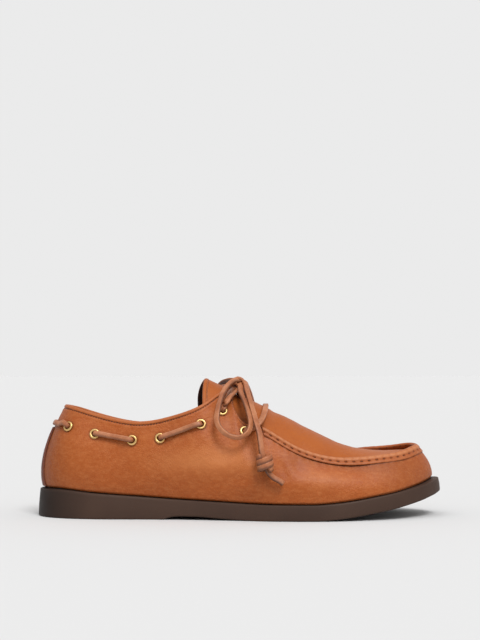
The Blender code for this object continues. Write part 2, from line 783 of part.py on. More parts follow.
def make_front_bar(group, finish):
    """The thong's bar over the apron, between the front eyelets of both flaps."""
    places = eyelet_rows()
    near = places[6]
    far = places[13]
    route = smooth_route(BAR_ROUTE, BAR_STEPS)
    points = lace_pass(near[0], near[1], on_wall(near[0], near[1] * 2, 0.0), route[0], True)[1:]
    points += route
    points += lace_pass(far[0], far[1], route[-1], on_wall(far[0], far[1] * 2, 0.0), False)[:-1]
    return add_tube("front_bar", points, LACE_DIAMETER, group, finish)


def make_knot(group, finish):
    """The bow's knot as a soft lump."""
    shape = bmesh.new()
    bmesh.ops.create_cube(shape, size=1.0, matrix=Matrix.Diagonal((*KNOT_SIZE, 1.0)))
    mesh = bpy.data.meshes.new("bow_knot")
    shape.to_mesh(mesh)
    shape.free()
    mesh.materials.append(finish)
    mesh.shade_smooth()
    made = bpy.data.objects.new("bow_knot", mesh)
    made.location = Vector(KNOT_AT) * MM
    soft = made.modifiers.new("soft", "SUBSURF")
    soft.levels = 2
    soft.render_levels = 2
    group.objects.link(made)


def make_barrel(name, middle, before, after, group, finish):
    """A barrel knot of three turns, as a turned solid along the strand."""
    radius = BARREL_DIAMETER / 2
    half = BARREL_LENGTH / 2
    profile = [(0.0, half), (radius * 0.75, half * 0.92), (radius, half * 0.66), (radius * 0.88, half * 0.33),
               (radius, 0.0), (radius * 0.88, -half * 0.33), (radius, -half * 0.66),
               (radius * 0.75, -half * 0.92), (0.0, -half)]
    mesh = bpy.data.meshes.new(name)
    mesh.from_pydata([(r, 0.0, z) for r, z in profile], [(k, k + 1) for k in range(len(profile) - 1)], [])
    mesh.materials.append(finish)
    made = bpy.data.objects.new(name, mesh)
    way = Vector(before) - Vector(after)
    made.rotation_euler = way.to_track_quat("Z", "Y").to_euler()
    made.location = Vector(middle) * MM
    turned = made.modifiers.new("turned", "SCREW")
    turned.steps = EYELET_STEPS
    turned.render_steps = EYELET_STEPS
    turned.use_merge_vertices = True
    turned.merge_threshold = 0.00001
    turned.use_smooth_shade = True
    group.objects.link(made)


def make_bow(group, finish):
    """Knot, two loops, two ends with barrel knots and their tails."""
    make_knot(group, finish)
    add_tube("loop_near", smooth_route(NEAR_LOOP, LOOP_STEPS), LACE_DIAMETER, group, finish)
    add_tube("loop_far", smooth_route(FAR_LOOP, LOOP_STEPS), LACE_DIAMETER, group, finish)
    add_tube("end_near", smooth_route(NEAR_END, END_STEPS), LACE_DIAMETER, group, finish)
    add_tube("end_far", smooth_route(FAR_END, END_STEPS), LACE_DIAMETER, group, finish)
    add_tube("tail_near", smooth_route(NEAR_TAIL, TAIL_STEPS), LACE_DIAMETER, group, finish)
    add_tube("tail_far", smooth_route(FAR_TAIL, TAIL_STEPS), LACE_DIAMETER, group, finish)
    make_barrel("barrel_near", NEAR_BARREL, NEAR_END[-1], NEAR_TAIL[0], group, finish)
    make_barrel("barrel_far", FAR_BARREL, FAR_END[-1], FAR_TAIL[0], group, finish)


def main():
    clear_scene()
    shoe = collection("derby_shoe")
    cutters = collection("cutters")
    rubber = material("rubber_brown", (0.055, 0.032, 0.022), 0.6)
    leather = material("leather_tan", (0.42, 0.14, 0.035), 0.45)
    edge = material("leather_edge", (0.34, 0.11, 0.03), 0.5)
    thong = material("leather_thong", (0.34, 0.13, 0.04), 0.55)
    lining = material("lining_tan", (0.30, 0.12, 0.05), 0.7)
    brass = material("brass", (0.75, 0.52, 0.18), 0.25, 1.0)
    make_sole(shoe, rubber)
    make_insole(shoe, lining)
    upper = make_upper(shoe, leather)
    make_apron_tongue(shoe, leather)
    make_moc_seam(shoe, edge)
    make_collar_binding(shoe, edge)
    make_backstay(shoe, edge)
    make_eyelets(shoe, brass)
    cut_eyelet_holes(upper, cutters)
    make_side_lace(shoe, thong)
    make_front_bar(shoe, thong)
    make_bow(shoe, thong)


main()
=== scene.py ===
import math

import bmesh
import bpy
import numpy as np
from mathutils import Matrix, Vector


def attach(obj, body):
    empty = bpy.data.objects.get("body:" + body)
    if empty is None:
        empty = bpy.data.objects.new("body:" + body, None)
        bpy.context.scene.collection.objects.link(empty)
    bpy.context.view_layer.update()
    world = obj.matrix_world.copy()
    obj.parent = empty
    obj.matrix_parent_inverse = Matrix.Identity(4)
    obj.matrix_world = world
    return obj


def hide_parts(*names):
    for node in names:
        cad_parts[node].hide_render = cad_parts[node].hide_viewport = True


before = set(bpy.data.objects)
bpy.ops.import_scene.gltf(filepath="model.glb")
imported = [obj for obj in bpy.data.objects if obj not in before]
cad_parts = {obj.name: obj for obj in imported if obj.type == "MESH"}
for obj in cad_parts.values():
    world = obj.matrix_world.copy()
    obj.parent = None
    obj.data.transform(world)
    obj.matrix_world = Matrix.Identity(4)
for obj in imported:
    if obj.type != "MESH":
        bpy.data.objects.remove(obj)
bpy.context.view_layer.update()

# Camera
CAMERA_AT = (0.112, -1.0, 0.105)
CAMERA_TILT = 92.25
CAMERA_LENS = 75.4
SENSOR_WIDTH = 36.0
CLIP_START = 0.05


def add_object(name, data):
    made = bpy.data.objects.new(name, data)
    bpy.context.scene.collection.objects.link(made)
    return made


def make_camera():
    camera = add_object("camera", bpy.data.cameras.new("camera"))
    camera.location = CAMERA_AT
    camera.rotation_euler = (math.radians(CAMERA_TILT), 0.0, 0.0)
    camera.data.lens = CAMERA_LENS
    camera.data.sensor_width = SENSOR_WIDTH
    camera.data.clip_start = CLIP_START
    bpy.context.scene.camera = camera


make_camera()

# The shoe's surfaces, with the same sizes and tables as the solids
MM = 0.001
SOLE_LENGTH = 0.298
BALL_WIDTH = 0.105
HEEL_WIDTH = 0.070
HEEL_CENTRE = 0.037
HEEL_THICKNESS = 0.0209
FOREFOOT_THICKNESS = 0.0113
TOE_SPRING = 0.0175
ARCH_RISE = 0.0024
SIDE_DRAFT = 0.0012
EDGE_ROUND = 0.0010
LEDGE_SIDE = 0.0024
LEDGE_HEEL = 0.0040
LEDGE_TOE = 0.0060
LEDGE_SLOPE = 0.33
HEEL_RISE = 0.064
INSTEP_RISE = 0.077
TOE_RISE = 0.026
TONGUE_RISE = 0.088
WALL = 0.0020
GAP = 0.0003
SEAT_GAP = 0.0005
TONGUE_GAP = 0.0009
TONGUE_LAP = 0.0085
INSOLE_GAP = 0.0012
BULGE_LEVEL = 0.44
CROWN_POWER = 2.1
SEAM_HEIGHT = 0.0056
APRON_DROP = 0.0022
EDGE_STEP = 0.0004
BINDING_HEIGHT = 0.0020
BACKSTAY_TOP_WIDTH = 0.018
BACKSTAY_WIDTH = 0.032
BACKSTAY_PROUD = 0.0014
LACE_DIAMETER = 0.0031
EYELET_BORE = 0.0041
EYELET_OUTER = 0.0074
EYELET_FLANGE = 0.0008
HEEL_EYELET_DROP = 0.0152
EYELET_DROP = 0.0136
FLAP_EYELET_DROP = 0.0155
FRONT_EYELET_DROP = 0.0084
LACE_TURN = 0.0019
THONG_WIDTH = 0.0040
THONG_THICKNESS = 0.0022
HEEL_WRAP_SINK = 0.0009
FLAP_STITCH = 0.0024
SEAM_STITCH_SPACING = 0.0059
SEAM_STITCH_DROP = 0.0027
DOWN = (0.0, 0.0, -1.0)

# Numbers of points, and small sizes that only the dressed shoe has
UPPER_ROWS = 660
SEAM_ROWS = 1300
BINDING_ROWS = 900
SOLE_ROWS = 760
INSOLE_ROWS = 260
BACKSTAY_ROWS = 130
EYELET_TURNS = 48
SIDE_POINTS = 900
BAR_POINTS = 240
LOOP_POINTS = 150
END_POINTS = 130
STRAND_POINTS = 60
BORE_PINCH = 0.24
BORE_REACH = 0.0026
LOOK_REACH = 0.0008
BARREL_RADIUS = 0.0049
BARREL_TURNS = 2.75
BARREL_PITCH = 0.0039
CORE_RADIUS = 0.0028
CORE_TURNS = 2.4
BACKSTAY_STITCH = 0.0022
BACKSTAY_SPACING = 0.0030
FLAP_SPACING = 0.0026
COLLAR_SPACING = 0.0021
COLLAR_STITCH = 0.0005
SOLE_BULGE = 0.00025
LIP_BULGE = 0.00010
TONGUE_TWIST = 0.0052
TOE_FLATTEN = 0.42
PIT_DEPTH = 0.00060
TONGUE_STITCHES = 46
FLAP_ROWS = (5.65, 9.3)
EYELET_SEARCH = (0.3, 9.0)
HOLE_DEPTH = 0.0040
TUCK_DEPTH = 0.0005
THREAD_LEVEL = -0.0021
THREAD_DROP = -0.0012

SECTIONS = (
    (0.000, 0.000, 0.000, 0.109, 0.066, 0.000, 0.000, 0.914, 0.000),
    (0.028, -0.300, 0.293, 0.112, 0.082, -0.180, 0.180, 0.902, -0.008),
    (0.120, -0.486, 0.479, 0.096, 0.126, -0.307, 0.307, 0.853, -0.020),
    (0.250, -0.508, 0.473, 0.063, 0.238, -0.445, 0.438, 0.751, -0.034),
    (0.383, -0.455, 0.382, 0.080, 0.339, -0.382, 0.371, 0.806, -0.034),
    (0.453, -0.447, 0.371, 0.104, 0.420, -0.312, 0.302, 0.930, -0.030),
    (0.507, -0.451, 0.386, 0.157, 0.464, -0.200, 0.200, 1.016, -0.013),
    (0.544, -0.467, 0.414, 0.137, 0.483, -0.257, 0.252, 0.926, 0.006),
    (0.574, -0.481, 0.441, 0.111, 0.508, -0.314, 0.305, 0.798, 0.006),
    (0.601, -0.489, 0.462, 0.094, 0.545, -0.346, 0.329, 0.785, 0.012),
    (0.634, -0.495, 0.483, 0.086, 0.585, -0.357, 0.324, 0.736, 0.015),
    (0.708, -0.493, 0.500, 0.094, 0.651, -0.352, 0.314, 0.634, 0.036),
    (0.790, -0.452, 0.486, 0.103, 0.742, -0.324, 0.305, 0.590, 0.055),
    (0.869, -0.381, 0.429, 0.095, 0.828, -0.267, 0.281, 0.644, 0.070),
    (0.936, -0.262, 0.329, 0.098, 0.893, -0.181, 0.219, 0.722, 0.070),
    (0.985, -0.105, 0.200, 0.108, 0.930, -0.076, 0.148, 0.822, 0.030),
    (1.000, 0.048, 0.048, 0.145, 0.943, 0.033, 0.033, 0.845, 0.000),
)
HEEL_ROWS = ((0.00, 0.97), (0.05, 1.00), (0.15, 0.74), (0.25, 0.52), (0.35, 0.31),
             (0.45, 0.16), (0.55, 0.03), (0.62, 0.00), (1.00, 0.00))
SPRING_ROWS = ((0.00, 0.00), (0.67, 0.00), (0.725, 0.06), (0.775, 0.16), (0.825, 0.30), (0.872, 0.44),
               (0.906, 0.57), (0.94, 0.71), (0.975, 0.89), (1.00, 1.00))
ARCH_ROWS = ((0.00, 0.00), (0.31, 0.00), (0.338, 0.85), (0.36, 1.00), (0.40, 0.96), (0.445, 0.60),
             (0.49, 0.25), (0.54, 0.00), (1.00, 0.00))
RISE_ROWS = ((0.00, HEEL_RISE), (0.46, INSTEP_RISE), (1.00, TOE_RISE))
SHEET_ROWS = (
    (4.93, 0.978, 0.000, 0.94), (5.2, 0.962, 0.000, 1.00), (5.6, 0.945, 0.000, 1.00), (6.0, 0.930, 0.000, 0.94),
    (7.0, 0.895, 0.000, 0.70), (8.0, 0.852, 0.000, 0.24), (9.0, 0.800, 0.000, 0.00), (10.0, 0.736, 0.000, 0.00),
    (10.6, 0.673, 0.002, 0.00), (11.0, 0.625, 0.003, 0.00), (11.5, 0.531, 0.006, 0.00), (12.0, 0.440, 0.010, 0.00),
    (12.5, 0.375, 0.014, 0.00), (13.0, 0.333, 0.019, 0.00), (13.6, 0.303, 0.024, 0.00), (14.2, 0.282, 0.024, 0.00),
    (15.0, 0.270, 0.010, 0.00),
)
EYELETS = (
    (0.081, HEEL_EYELET_DROP), (0.148, HEEL_EYELET_DROP), (0.240, EYELET_DROP), (0.308, EYELET_DROP),
    (0.406, EYELET_DROP), (0.457, FLAP_EYELET_DROP), (0.512, FRONT_EYELET_DROP),
)
SEAM_START_ROW = 9.2
BINDING_END_ROW = 5.7


def fade(value, start, end):
    """A smooth step from 0 at start to 1 at end."""
    share = np.clip((np.asarray(value, float) - start) / (end - start), 0.0, 1.0)
    return share * share * (3.0 - 2.0 * share)


def bell(value, middle, width):
    """A smooth bump with height 1 at its middle."""
    return np.exp(-((value - middle) / width) ** 2)


def run_along(points):
    """The length along a line up to each of its points."""
    return np.concatenate([[0.0], np.cumsum(np.linalg.norm(np.diff(points, axis=0), axis=1))])


def curve_of(rows):
    """A smooth curve through rows of (place, value) with no overshoot, as a function of an array."""
    places = np.array([row[0] for row in rows])
    values = np.array([row[1] for row in rows])
    slopes = np.diff(values) / np.diff(places)
    tangents = np.zeros(len(rows))
    for k in range(1, len(rows) - 1):
        before, after = slopes[k - 1], slopes[k]
        if before * after > 0.0:
            tangents[k] = 2.0 * before * after / (before + after)

    def at(place):
        place = np.clip(np.asarray(place, float), places[0], places[-1])
        span = np.clip(np.searchsorted(places, place, side="right") - 1, 0, len(rows) - 2)
        width = places[span + 1] - places[span]
        t = (place - places[span]) / width
        climb = values[span + 1] - values[span]
        start = tangents[span] * width
        end = tangents[span + 1] * width
        return values[span] + t * (start + t * (3 * climb - 2 * start - end + t * (start + end - 2 * climb)))
    return at


heel_curve = curve_of(HEEL_ROWS)
spring_curve = curve_of(SPRING_ROWS)
arch_curve = curve_of(ARCH_ROWS)


def breadth(along):
    return HEEL_WIDTH + (BALL_WIDTH - HEEL_WIDTH) * fade(along, 0.20, 0.55)


def rise(along):
    return np.interp(along, [row[0] for row in RISE_ROWS], [row[1] for row in RISE_ROWS])


def along_of(x):
    return np.clip((np.asarray(x) + HEEL_CENTRE) / SOLE_LENGTH, 0.0, 1.0)


def x_of(along):
    return along * SOLE_LENGTH - HEEL_CENTRE


def seat(x):
    along = along_of(x)
    heel = (HEEL_THICKNESS - FOREFOOT_THICKNESS) * heel_curve(along)
    return FOREFOOT_THICKNESS + heel + TOE_SPRING * spring_curve(along)


def ground(x):
    along = along_of(x)
    return ARCH_RISE * arch_curve(along) + TOE_SPRING * spring_curve(along)


class Ring:
    """A smooth closed curve through points, read at row numbers."""

    def __init__(self, knots, points):
        self.points = np.array(points)
        count = len(points)
        self.spans = np.diff(knots)
        matrix = np.zeros((count, count))
        slopes = (np.roll(self.points, -1, axis=0) - self.points) / self.spans[:, None]
        for k in range(count):
            matrix[k, k - 1] += self.spans[k - 1]
            matrix[k, k] += 2.0 * (self.spans[k - 1] + self.spans[k])
            matrix[k, (k + 1) % count] += self.spans[k]
        self.bends = np.linalg.solve(matrix, 6.0 * (slopes - np.roll(slopes, 1, axis=0)))

    def at(self, rows):
        count = len(self.points)
        rows = np.asarray(rows, float) % count
        k = np.minimum(rows.astype(int), count - 1)
        after = (k + 1) % count
        t = (rows - k)[..., None]
        s = 1.0 - t
        span = self.spans[k][..., None]
        cubic = (s ** 3 - s) * self.bends[k] + (t ** 3 - t) * self.bends[after]
        return s * self.points[k] + t * self.points[after] + span * span / 6.0 * cubic


def section_rings():
    order = [(row, 1, 0.0) for row in SECTIONS] + [(row, 2, 1.0) for row in reversed(SECTIONS[1:-1])]
    sole, top, swell = [], [], []
    for row, side, lifted in order:
        width = float(breadth(row[0]))
        sole.append((x_of(row[0]), width * row[side], 0.0))
        top_x = x_of(row[4])
        height = row[7] + lifted * row[8]
        top.append((top_x, width * row[4 + side], float(seat(top_x) + height * rise(row[4]))))
        swell.append((row[3] * rise(row[0]), 0.0, 0.0))
    knots = 0.5 * (run_along(sole + sole[:1]) + run_along(top + top[:1]))
    return Ring(knots, sole), Ring(knots, top), Ring(knots, swell)


SOLE_RING, TOP_RING, SWELL_RING = section_rings()
ROWS = len(SOLE_RING.points)
ROW_PER_METRE = 1.0 / np.linalg.norm(SOLE_RING.points[1] - SOLE_RING.points[0])


def unit(vectors):
    return vectors / np.maximum(np.linalg.norm(vectors, axis=-1, keepdims=True), 1e-12)


def outward(rows):
    step = SOLE_RING.at(np.asarray(rows) + 0.05) - SOLE_RING.at(np.asarray(rows) - 0.05)
    normal = np.stack([step[..., 1], -step[..., 0], np.zeros(step.shape[:-1])], -1)
    return unit(normal)


def ledge(rows):
    along = along_of(SOLE_RING.at(rows)[..., 0])
    heel = (LEDGE_HEEL - LEDGE_SIDE) * (1.0 - fade(along, 0.0, 0.10))
    toe = (LEDGE_TOE - LEDGE_SIDE) * fade(along, 0.88, 1.0)
    return LEDGE_SIDE + heel + toe


def outline(rows, inset):
    return SOLE_RING.at(rows) - outward(rows) * np.asarray(inset)[..., None]


def foot(rows):
    point = outline(rows, ledge(rows))
    point[..., 2] = seat(point[..., 0]) + SEAT_GAP
    return point


def wall(rows, v):
    """Outer face of the upper, from its foot (v 0) over the swell to its top edge (v 1)."""
    rows = np.asarray(rows, float)
    low = foot(rows)
    high = TOP_RING.at(rows)
    middle = 0.5 * (low + high) + outward(rows) * SWELL_RING.at(rows)[..., :1]
    middle[..., 2] = low[..., 2] + BULGE_LEVEL * (high[..., 2] - low[..., 2])
    pull = 2.0 * middle - 0.5 * (low + high)
    v = np.asarray(v, float)[..., None]
    return (1 - v) ** 2 * low + 2 * v * (1 - v) * pull + v * v * high


def wall_frame(rows, v):
    """Points, outward normals and upward directions of the wall."""
    around = wall(rows + 0.02, v) - wall(rows - 0.02, v)
    point = wall(rows, v)
    upward = unit(point - wall(rows, np.asarray(v) - 0.02))
    normal = unit(np.cross(upward, around))
    turned = np.sum(normal * outward(rows), -1, keepdims=True) < 0.0
    return point, np.where(turned, -normal, normal), upward


STEPS = np.linspace(1.0, 0.0, 41)


def wall_runs(rows):
    """Length down the wall from the top edge, for each row and step."""
    points = wall(np.asarray(rows)[:, None] + np.zeros((1, len(STEPS))), np.zeros((len(rows), 1)) + STEPS)
    run = np.cumsum(np.linalg.norm(np.diff(points, axis=1), axis=2), axis=1)
    return np.concatenate([np.zeros((len(rows), 1)), run], 1)


def on_wall(rows, drops, offsets):
    """Points at rows (n), drops and offsets (n, m) from the top edge and the outer face, with normals and ups."""
    rows = np.asarray(rows, float)
    drops = np.broadcast_to(drops, (len(rows), np.shape(drops)[-1]))
    offsets = np.broadcast_to(offsets, drops.shape)
    runs = wall_runs(rows)
    v = np.stack([np.interp(np.maximum(d, 0.0), r, STEPS) for d, r in zip(drops, runs)])
    point, normal, upward = wall_frame(rows[:, None] + np.zeros(v.shape), v)
    return point + normal * offsets[..., None] + upward * np.maximum(-drops, 0.0)[..., None], normal, upward


def wall_point(row, drop, offset=0.0):
    point, normal, upward = on_wall([row], [[drop]], [[offset]])
    return point[0, 0], normal[0, 0], upward[0, 0]


def row_at(along, drop, start, end):
    """The row between start and end whose wall point at that drop lies at a place along the shoe."""
    target = x_of(along)
    rows = np.linspace(start, end, 241)
    xs = on_wall(rows, np.full((241, 1), drop), 0.0)[0][:, 0, 0]
    order = np.argsort(xs)
    return float(np.interp(target, xs[order], rows[order]))


# Soft noise made of waves, the same on every run
def waves(points, size, seed, count=26):
    """Smooth unevenness with features of about the given size, between about -1 and 1."""
    random = np.random.default_rng(seed)
    ways = unit(random.normal(size=(count, 3)))
    lengths = size * random.uniform(0.7, 1.6, count)
    phases = random.uniform(0, 2 * math.pi, count)
    total = np.zeros(points.shape[:-1])
    for way, length, phase in zip(ways, lengths, phases):
        total += np.sin(points @ way * (2 * math.pi / length) + phase)
    return total / math.sqrt(count) / 1.4


# Mesh helpers
def add_mesh(name, points, faces, materials, tones):
    mesh = bpy.data.meshes.new(name)
    mesh.from_pydata(np.asarray(points).reshape(-1, 3).tolist(), [], faces)
    mesh.shade_smooth()
    for material in materials:
        mesh.materials.append(MATERIALS[material])
    if tones is not None:
        layer = mesh.attributes.new("tone", "FLOAT", "POINT")
        layer.data.foreach_set("value", np.asarray(tones, np.float32).reshape(-1))
    made = add_object(name, mesh)
    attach(made, "root")
    return made


def dress(made, slot, *nodes):
    """Hides the solids that a piece stands for. Its slot is not used."""
    if nodes:
        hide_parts(*nodes)
    return made


def fix_normals(made):
    shape = bmesh.new()
    shape.from_mesh(made.data)
    bmesh.ops.recalc_face_normals(shape, faces=shape.faces)
    shape.to_mesh(made.data)
    shape.free()
    made.data.shade_smooth()
    return made


def quads(n, m, close_rows=False, close_columns=False):
    i, j = np.meshgrid(np.arange(n if close_rows else n - 1), np.arange(m if close_columns else m - 1), indexing="ij")
    k, l = (i + 1) % n, (j + 1) % m
    return np.stack([i * m + j, i * m + l, k * m + l, k * m + j], -1).reshape(-1, 4)


def facing(faces, flat, out):
    """The same faces as a list, turned to look the way of out."""
    a, b, c, d = (flat[faces[:, k]] for k in range(4))
    if np.sum(np.cross(c - a, d - b) * out.reshape(-1, 3)[faces[:, 0]]) < 0.0:
        faces = faces[:, ::-1]
    return faces.tolist()


def add_grid(name, grid, materials, out, close_rows=False, close_columns=False, tones=None, caps=False):
    """A surface through a grid of points. out says which way its faces look."""
    n, m = grid.shape[:2]
    flat = grid.reshape(-1, 3)
    faces = facing(quads(n, m, close_rows, close_columns), flat, out)
    if caps:
        faces.append(list(range(m)))
        faces.append(list(range((n - 1) * m, n * m))[::-1])
    return add_mesh(name, flat, faces, materials, tones)


def second_material(made, wanted):
    made.data.polygons.foreach_set("material_index", wanted.astype(np.int32))


def blend(place, start, end, a, b):
    return (end - place) / (end - start) * a + (place - start) / (end - start) * b


def spline(route, count, scale=MM):
    """Points spread evenly on a smooth curve through a route."""
    points = np.array(route, float) * scale
    knots = np.concatenate([[0.0], np.cumsum(np.sqrt(np.linalg.norm(np.diff(points, axis=0), axis=1)))])
    full = np.vstack([2 * points[0] - points[1], points, 2 * points[-1] - points[-2]])
    places = np.concatenate([[-knots[1]], knots, [2 * knots[-1] - knots[-2]]])
    fine = []
    for place in np.linspace(0.0, knots[-1], count * 6):
        k = min(max(int(np.searchsorted(knots, place, side="right")) - 1, 0), len(points) - 2)
        t = places[k:k + 4]
        level = list(full[k:k + 4])
        for reach in (1, 2):
            level = [blend(place, t[j], t[j + reach], level[j], level[j + 1]) for j in range(len(level) - 1)]
        fine.append(blend(place, t[1], t[2], *level))
    return even(np.array(fine), count)


def even(points, count):
    """The same line with evenly spread points."""
    run = run_along(points)
    return at_places(points, run, np.linspace(0.0, run[-1], count))


def at_places(values, run, places):
    return np.stack([np.interp(places, run, values[:, k]) for k in range(3)], 1)


def smoothed(points, rounds):
    """The same line with its corners eased."""
    points = points.copy()
    for _ in range(rounds):
        points[1:-1] = 0.25 * points[:-2] + 0.5 * points[1:-1] + 0.25 * points[2:]
    return points


def frames_along(points, up):
    """Directions, sides and ups along a line. up is one direction or one for each point."""
    ways = unit(np.gradient(points, axis=0))
    up = np.broadcast_to(np.asarray(up, float), points.shape)
    ups = unit(up - ways * np.sum(up * ways, -1, keepdims=True))
    return ways, unit(np.cross(ways, ups)), ups


def thong_profile(width, thickness, power, count):
    turn = np.linspace(0.0, 2 * math.pi, count, endpoint=False)
    c, s = np.cos(turn), np.sin(turn)
    a = np.sign(c) * np.abs(c) ** (2.0 / power) * width / 2
    b = np.sign(s) * np.abs(s) ** (2.0 / power) * thickness / 2
    return a, b, turn


def add_thong(name, points, up, seed, width=THONG_WIDTH, thickness=THONG_THICKNESS, power=4.0, count=20,
              shade_side=None, dark=0.85, narrow=1.0, nodes=()):
    """A leather thong: a soft-edged strip along a line, a little uneven, with closed ends, and painted shade on one
    side.
    """
    ways, sides, ups = frames_along(points, up)
    a, b, turn = thong_profile(width, thickness, power, count)
    swell = 1.0 + 0.03 * waves(points, 0.011, seed, 12)
    out = sides[:, None] * a[None, :, None] + ups[:, None] * b[None, :, None]
    grid = (points[:, None] + sides[:, None] * (a[None, :, None] * (swell * narrow)[:, None, None])
            + ups[:, None] * (b[None, :, None] * swell[:, None, None]))
    grid = grid + unit(out) * (0.00006 * waves(grid, 0.0035, seed + 7, 16))[..., None]
    # rounded ends
    first = points[0] + (grid[0] - points[0]) * 0.55 - ways[0] * 0.0004
    last = points[-1] + (grid[-1] - points[-1]) * 0.72 + ways[-1] * 0.0003
    grid = np.concatenate([first[None], grid, last[None]])
    out = np.concatenate([out[:1], out, out[-1:]])
    # the flat faces are a little darker than the rounded edges: a painted highlight along the thong's edges
    corner = np.abs(np.sin(2 * turn)) ** 3
    tones = 1.0 - 0.10 * (1 - corner)[None] + 0.10 * waves(grid, 0.02, seed + 3, 10)
    # painted shade: the faces that look towards the given side are darkened by dark
    if shade_side is not None:
        shaded = np.broadcast_to(np.asarray(shade_side, float), points.shape)
        shaded = np.concatenate([shaded[:1], shaded, shaded[-1:]])[:, None]
        tones = tones - dark * fade(np.sum(unit(out) * shaded, -1), -0.1, 0.45)
    made = add_grid(name, grid, ["thong"], out, close_columns=True, tones=tones, caps=True)
    return dress(made, "leather_thong", *nodes)


# Materials
def linear(red, green, blue):
    def one(value):
        value = value / 255.0
        return value / 12.92 if value <= 0.04045 else ((value + 0.055) / 1.055) ** 2.4
    return (one(red), one(green), one(blue), 1.0)


class Nodes:
    """A node tree, built node by node."""

    def __init__(self, tree):
        self.tree = tree

    def give(self, socket, value):
        if isinstance(value, bpy.types.NodeSocket):
            self.tree.links.new(value, socket)
        else:
            socket.default_value = value

    def node(self, kind, inputs=None, **settings):
        made = self.tree.nodes.new(kind)
        for key, value in settings.items():
            setattr(made, key, value)
        for key, value in (inputs or {}).items():
            self.give(made.inputs[key], value)
        return made

    def math(self, operation, a, b):
        return self.node("ShaderNodeMath", {0: a, 1: b}, operation=operation).outputs[0]

    def span(self, value, low, high, to_low=0.0, to_high=1.0, **settings):
        levels = {"Value": value, "From Min": low, "From Max": high, "To Min": to_low, "To Max": to_high}
        return self.node("ShaderNodeMapRange", levels, **settings).outputs["Result"]


class Finish(Nodes):
    """A procedural material."""

    def __init__(self, name, **sockets):
        self.material = bpy.data.materials.new(name)
        self.material.use_nodes = True
        super().__init__(self.material.node_tree)
        self.shader = self.tree.nodes["Principled BSDF"]
        for key, value in sockets.items():
            self.set(key.replace("_", " "), value)
        self.place = self.node("ShaderNodeTexCoord").outputs["Object"]

    def set(self, name, value):
        self.give(self.shader.inputs[name], value)

    def stretched(self, scale):
        return self.node("ShaderNodeMapping", {"Vector": self.place, "Scale": scale}).outputs[0]

    def noise(self, scale, detail=3.0, rough=0.55, place=None, distortion=0.0):
        inputs = {"Vector": place or self.place, "Scale": scale, "Detail": detail, "Roughness": rough}
        return self.node("ShaderNodeTexNoise", {**inputs, "Distortion": distortion}).outputs["Fac"]

    def cells(self, scale, place, smooth):
        made = self.node("ShaderNodeTexVoronoi", {}, feature="SMOOTH_F1")
        for name, value in (("Vector", place), ("Scale", scale), ("Smoothness", smooth)):
            self.give(made.inputs[name], value)
        return made.outputs["Distance"]

    def mix(self, share, a, b):
        made = self.node("ShaderNodeMix", {"Factor": share}, data_type="RGBA")
        first, second = (socket for socket in made.inputs if socket.type == "RGBA")
        self.give(first, a)
        self.give(second, b)
        return [socket for socket in made.outputs if socket.type == "RGBA"][0]

    def tint(self, colour, mask, low, high, share, other):
        """Mixes another colour in where a mask goes from low to high."""
        return self.mix(self.math("MULTIPLY", self.span(mask, low, high), share), colour, other)

    def sum(self, *parts):
        """Adds masks, each with its share."""
        total = None
        for mask, share in parts:
            part = mask if share == 1.0 else self.math("MULTIPLY", mask, share)
            total = part if total is None else self.math("ADD", total, part)
        return total

    def shade(self, colour, dark):
        """Darkens a colour where the mesh's tone falls under 1: mostly painted shade."""
        self.tone = self.node("ShaderNodeAttribute", attribute_name="tone").outputs["Fac"]
        return self.mix(self.span(self.tone, 0.0, 1.0, 1.0, 0.0), colour, dark)

    def finish(self, colour, roughness, height, strength, distance):
        bump = self.node("ShaderNodeBump", {"Height": height, "Strength": strength, "Distance": distance})
        self.set("Base Color", colour)
        self.set("Roughness", roughness)
        self.set("Normal", bump.outputs["Normal"])
        return self.material


def dimmed(colour, share):
    return tuple(share * c for c in colour[:3]) + (1.0,)


def leather(name, light, mid, dark, grain, rough=(0.42, 0.55), coat=0.03):
    f = Finish(name, Coat_Weight=coat, Coat_Roughness=0.32, Specular_IOR_Level=0.30)
    light, mid, dark = linear(*light), linear(*mid), linear(*dark)
    clouds = f.noise(26.0)
    mottle = f.noise(150.0, 4.0, 0.6)
    cell = f.cells(1050.0, f.stretched((1.0, 1.0, 0.82)), 0.6)
    pore = f.noise(2600.0, 3.0, 0.6)
    fold = f.noise(420.0, 3.0, 0.6, f.stretched((1.5, 1.5, 0.55)), 0.6)
    streak = f.noise(400.0, 4.0, 0.7, f.stretched((0.6, 1.0, 1.3)), 0.3)
    colour = f.tint(mid, clouds, 0.35, 0.68, 0.42, dark)
    colour = f.tint(colour, mottle, 0.45, 0.75, 0.16, light)
    colour = f.tint(colour, cell, 0.35, 0.75, 0.22 * grain, dark)
    colour = f.tint(colour, streak, 0.46, 0.72, 0.26 * grain, light)
    colour = f.tint(colour, streak, 0.50, 0.28, 0.20 * grain, dark)
    # tone under 1 darkens towards the dimmed dark colour, tone over 1 lightens towards the light one: painted shade
    # and painted highlights
    colour = f.shade(colour, dimmed(dark, 0.16))
    colour = f.mix(f.span(f.tone, 1.0, 1.6, 0.0, 0.6), colour, light)
    height = f.sum((f.span(cell, 0.12, 0.55, 1.0, 0.0), 1.05), (pore, 0.35), (fold, 0.9))
    strong = f.span(f.noise(60.0, 3.0, 0.5), 0.32, 0.68, 0.35 * grain, grain)
    return f.finish(colour, f.span(f.sum((mottle, 0.6), (cell, 0.4)), 0.2, 0.7, *rough), height, strong, 0.00016)


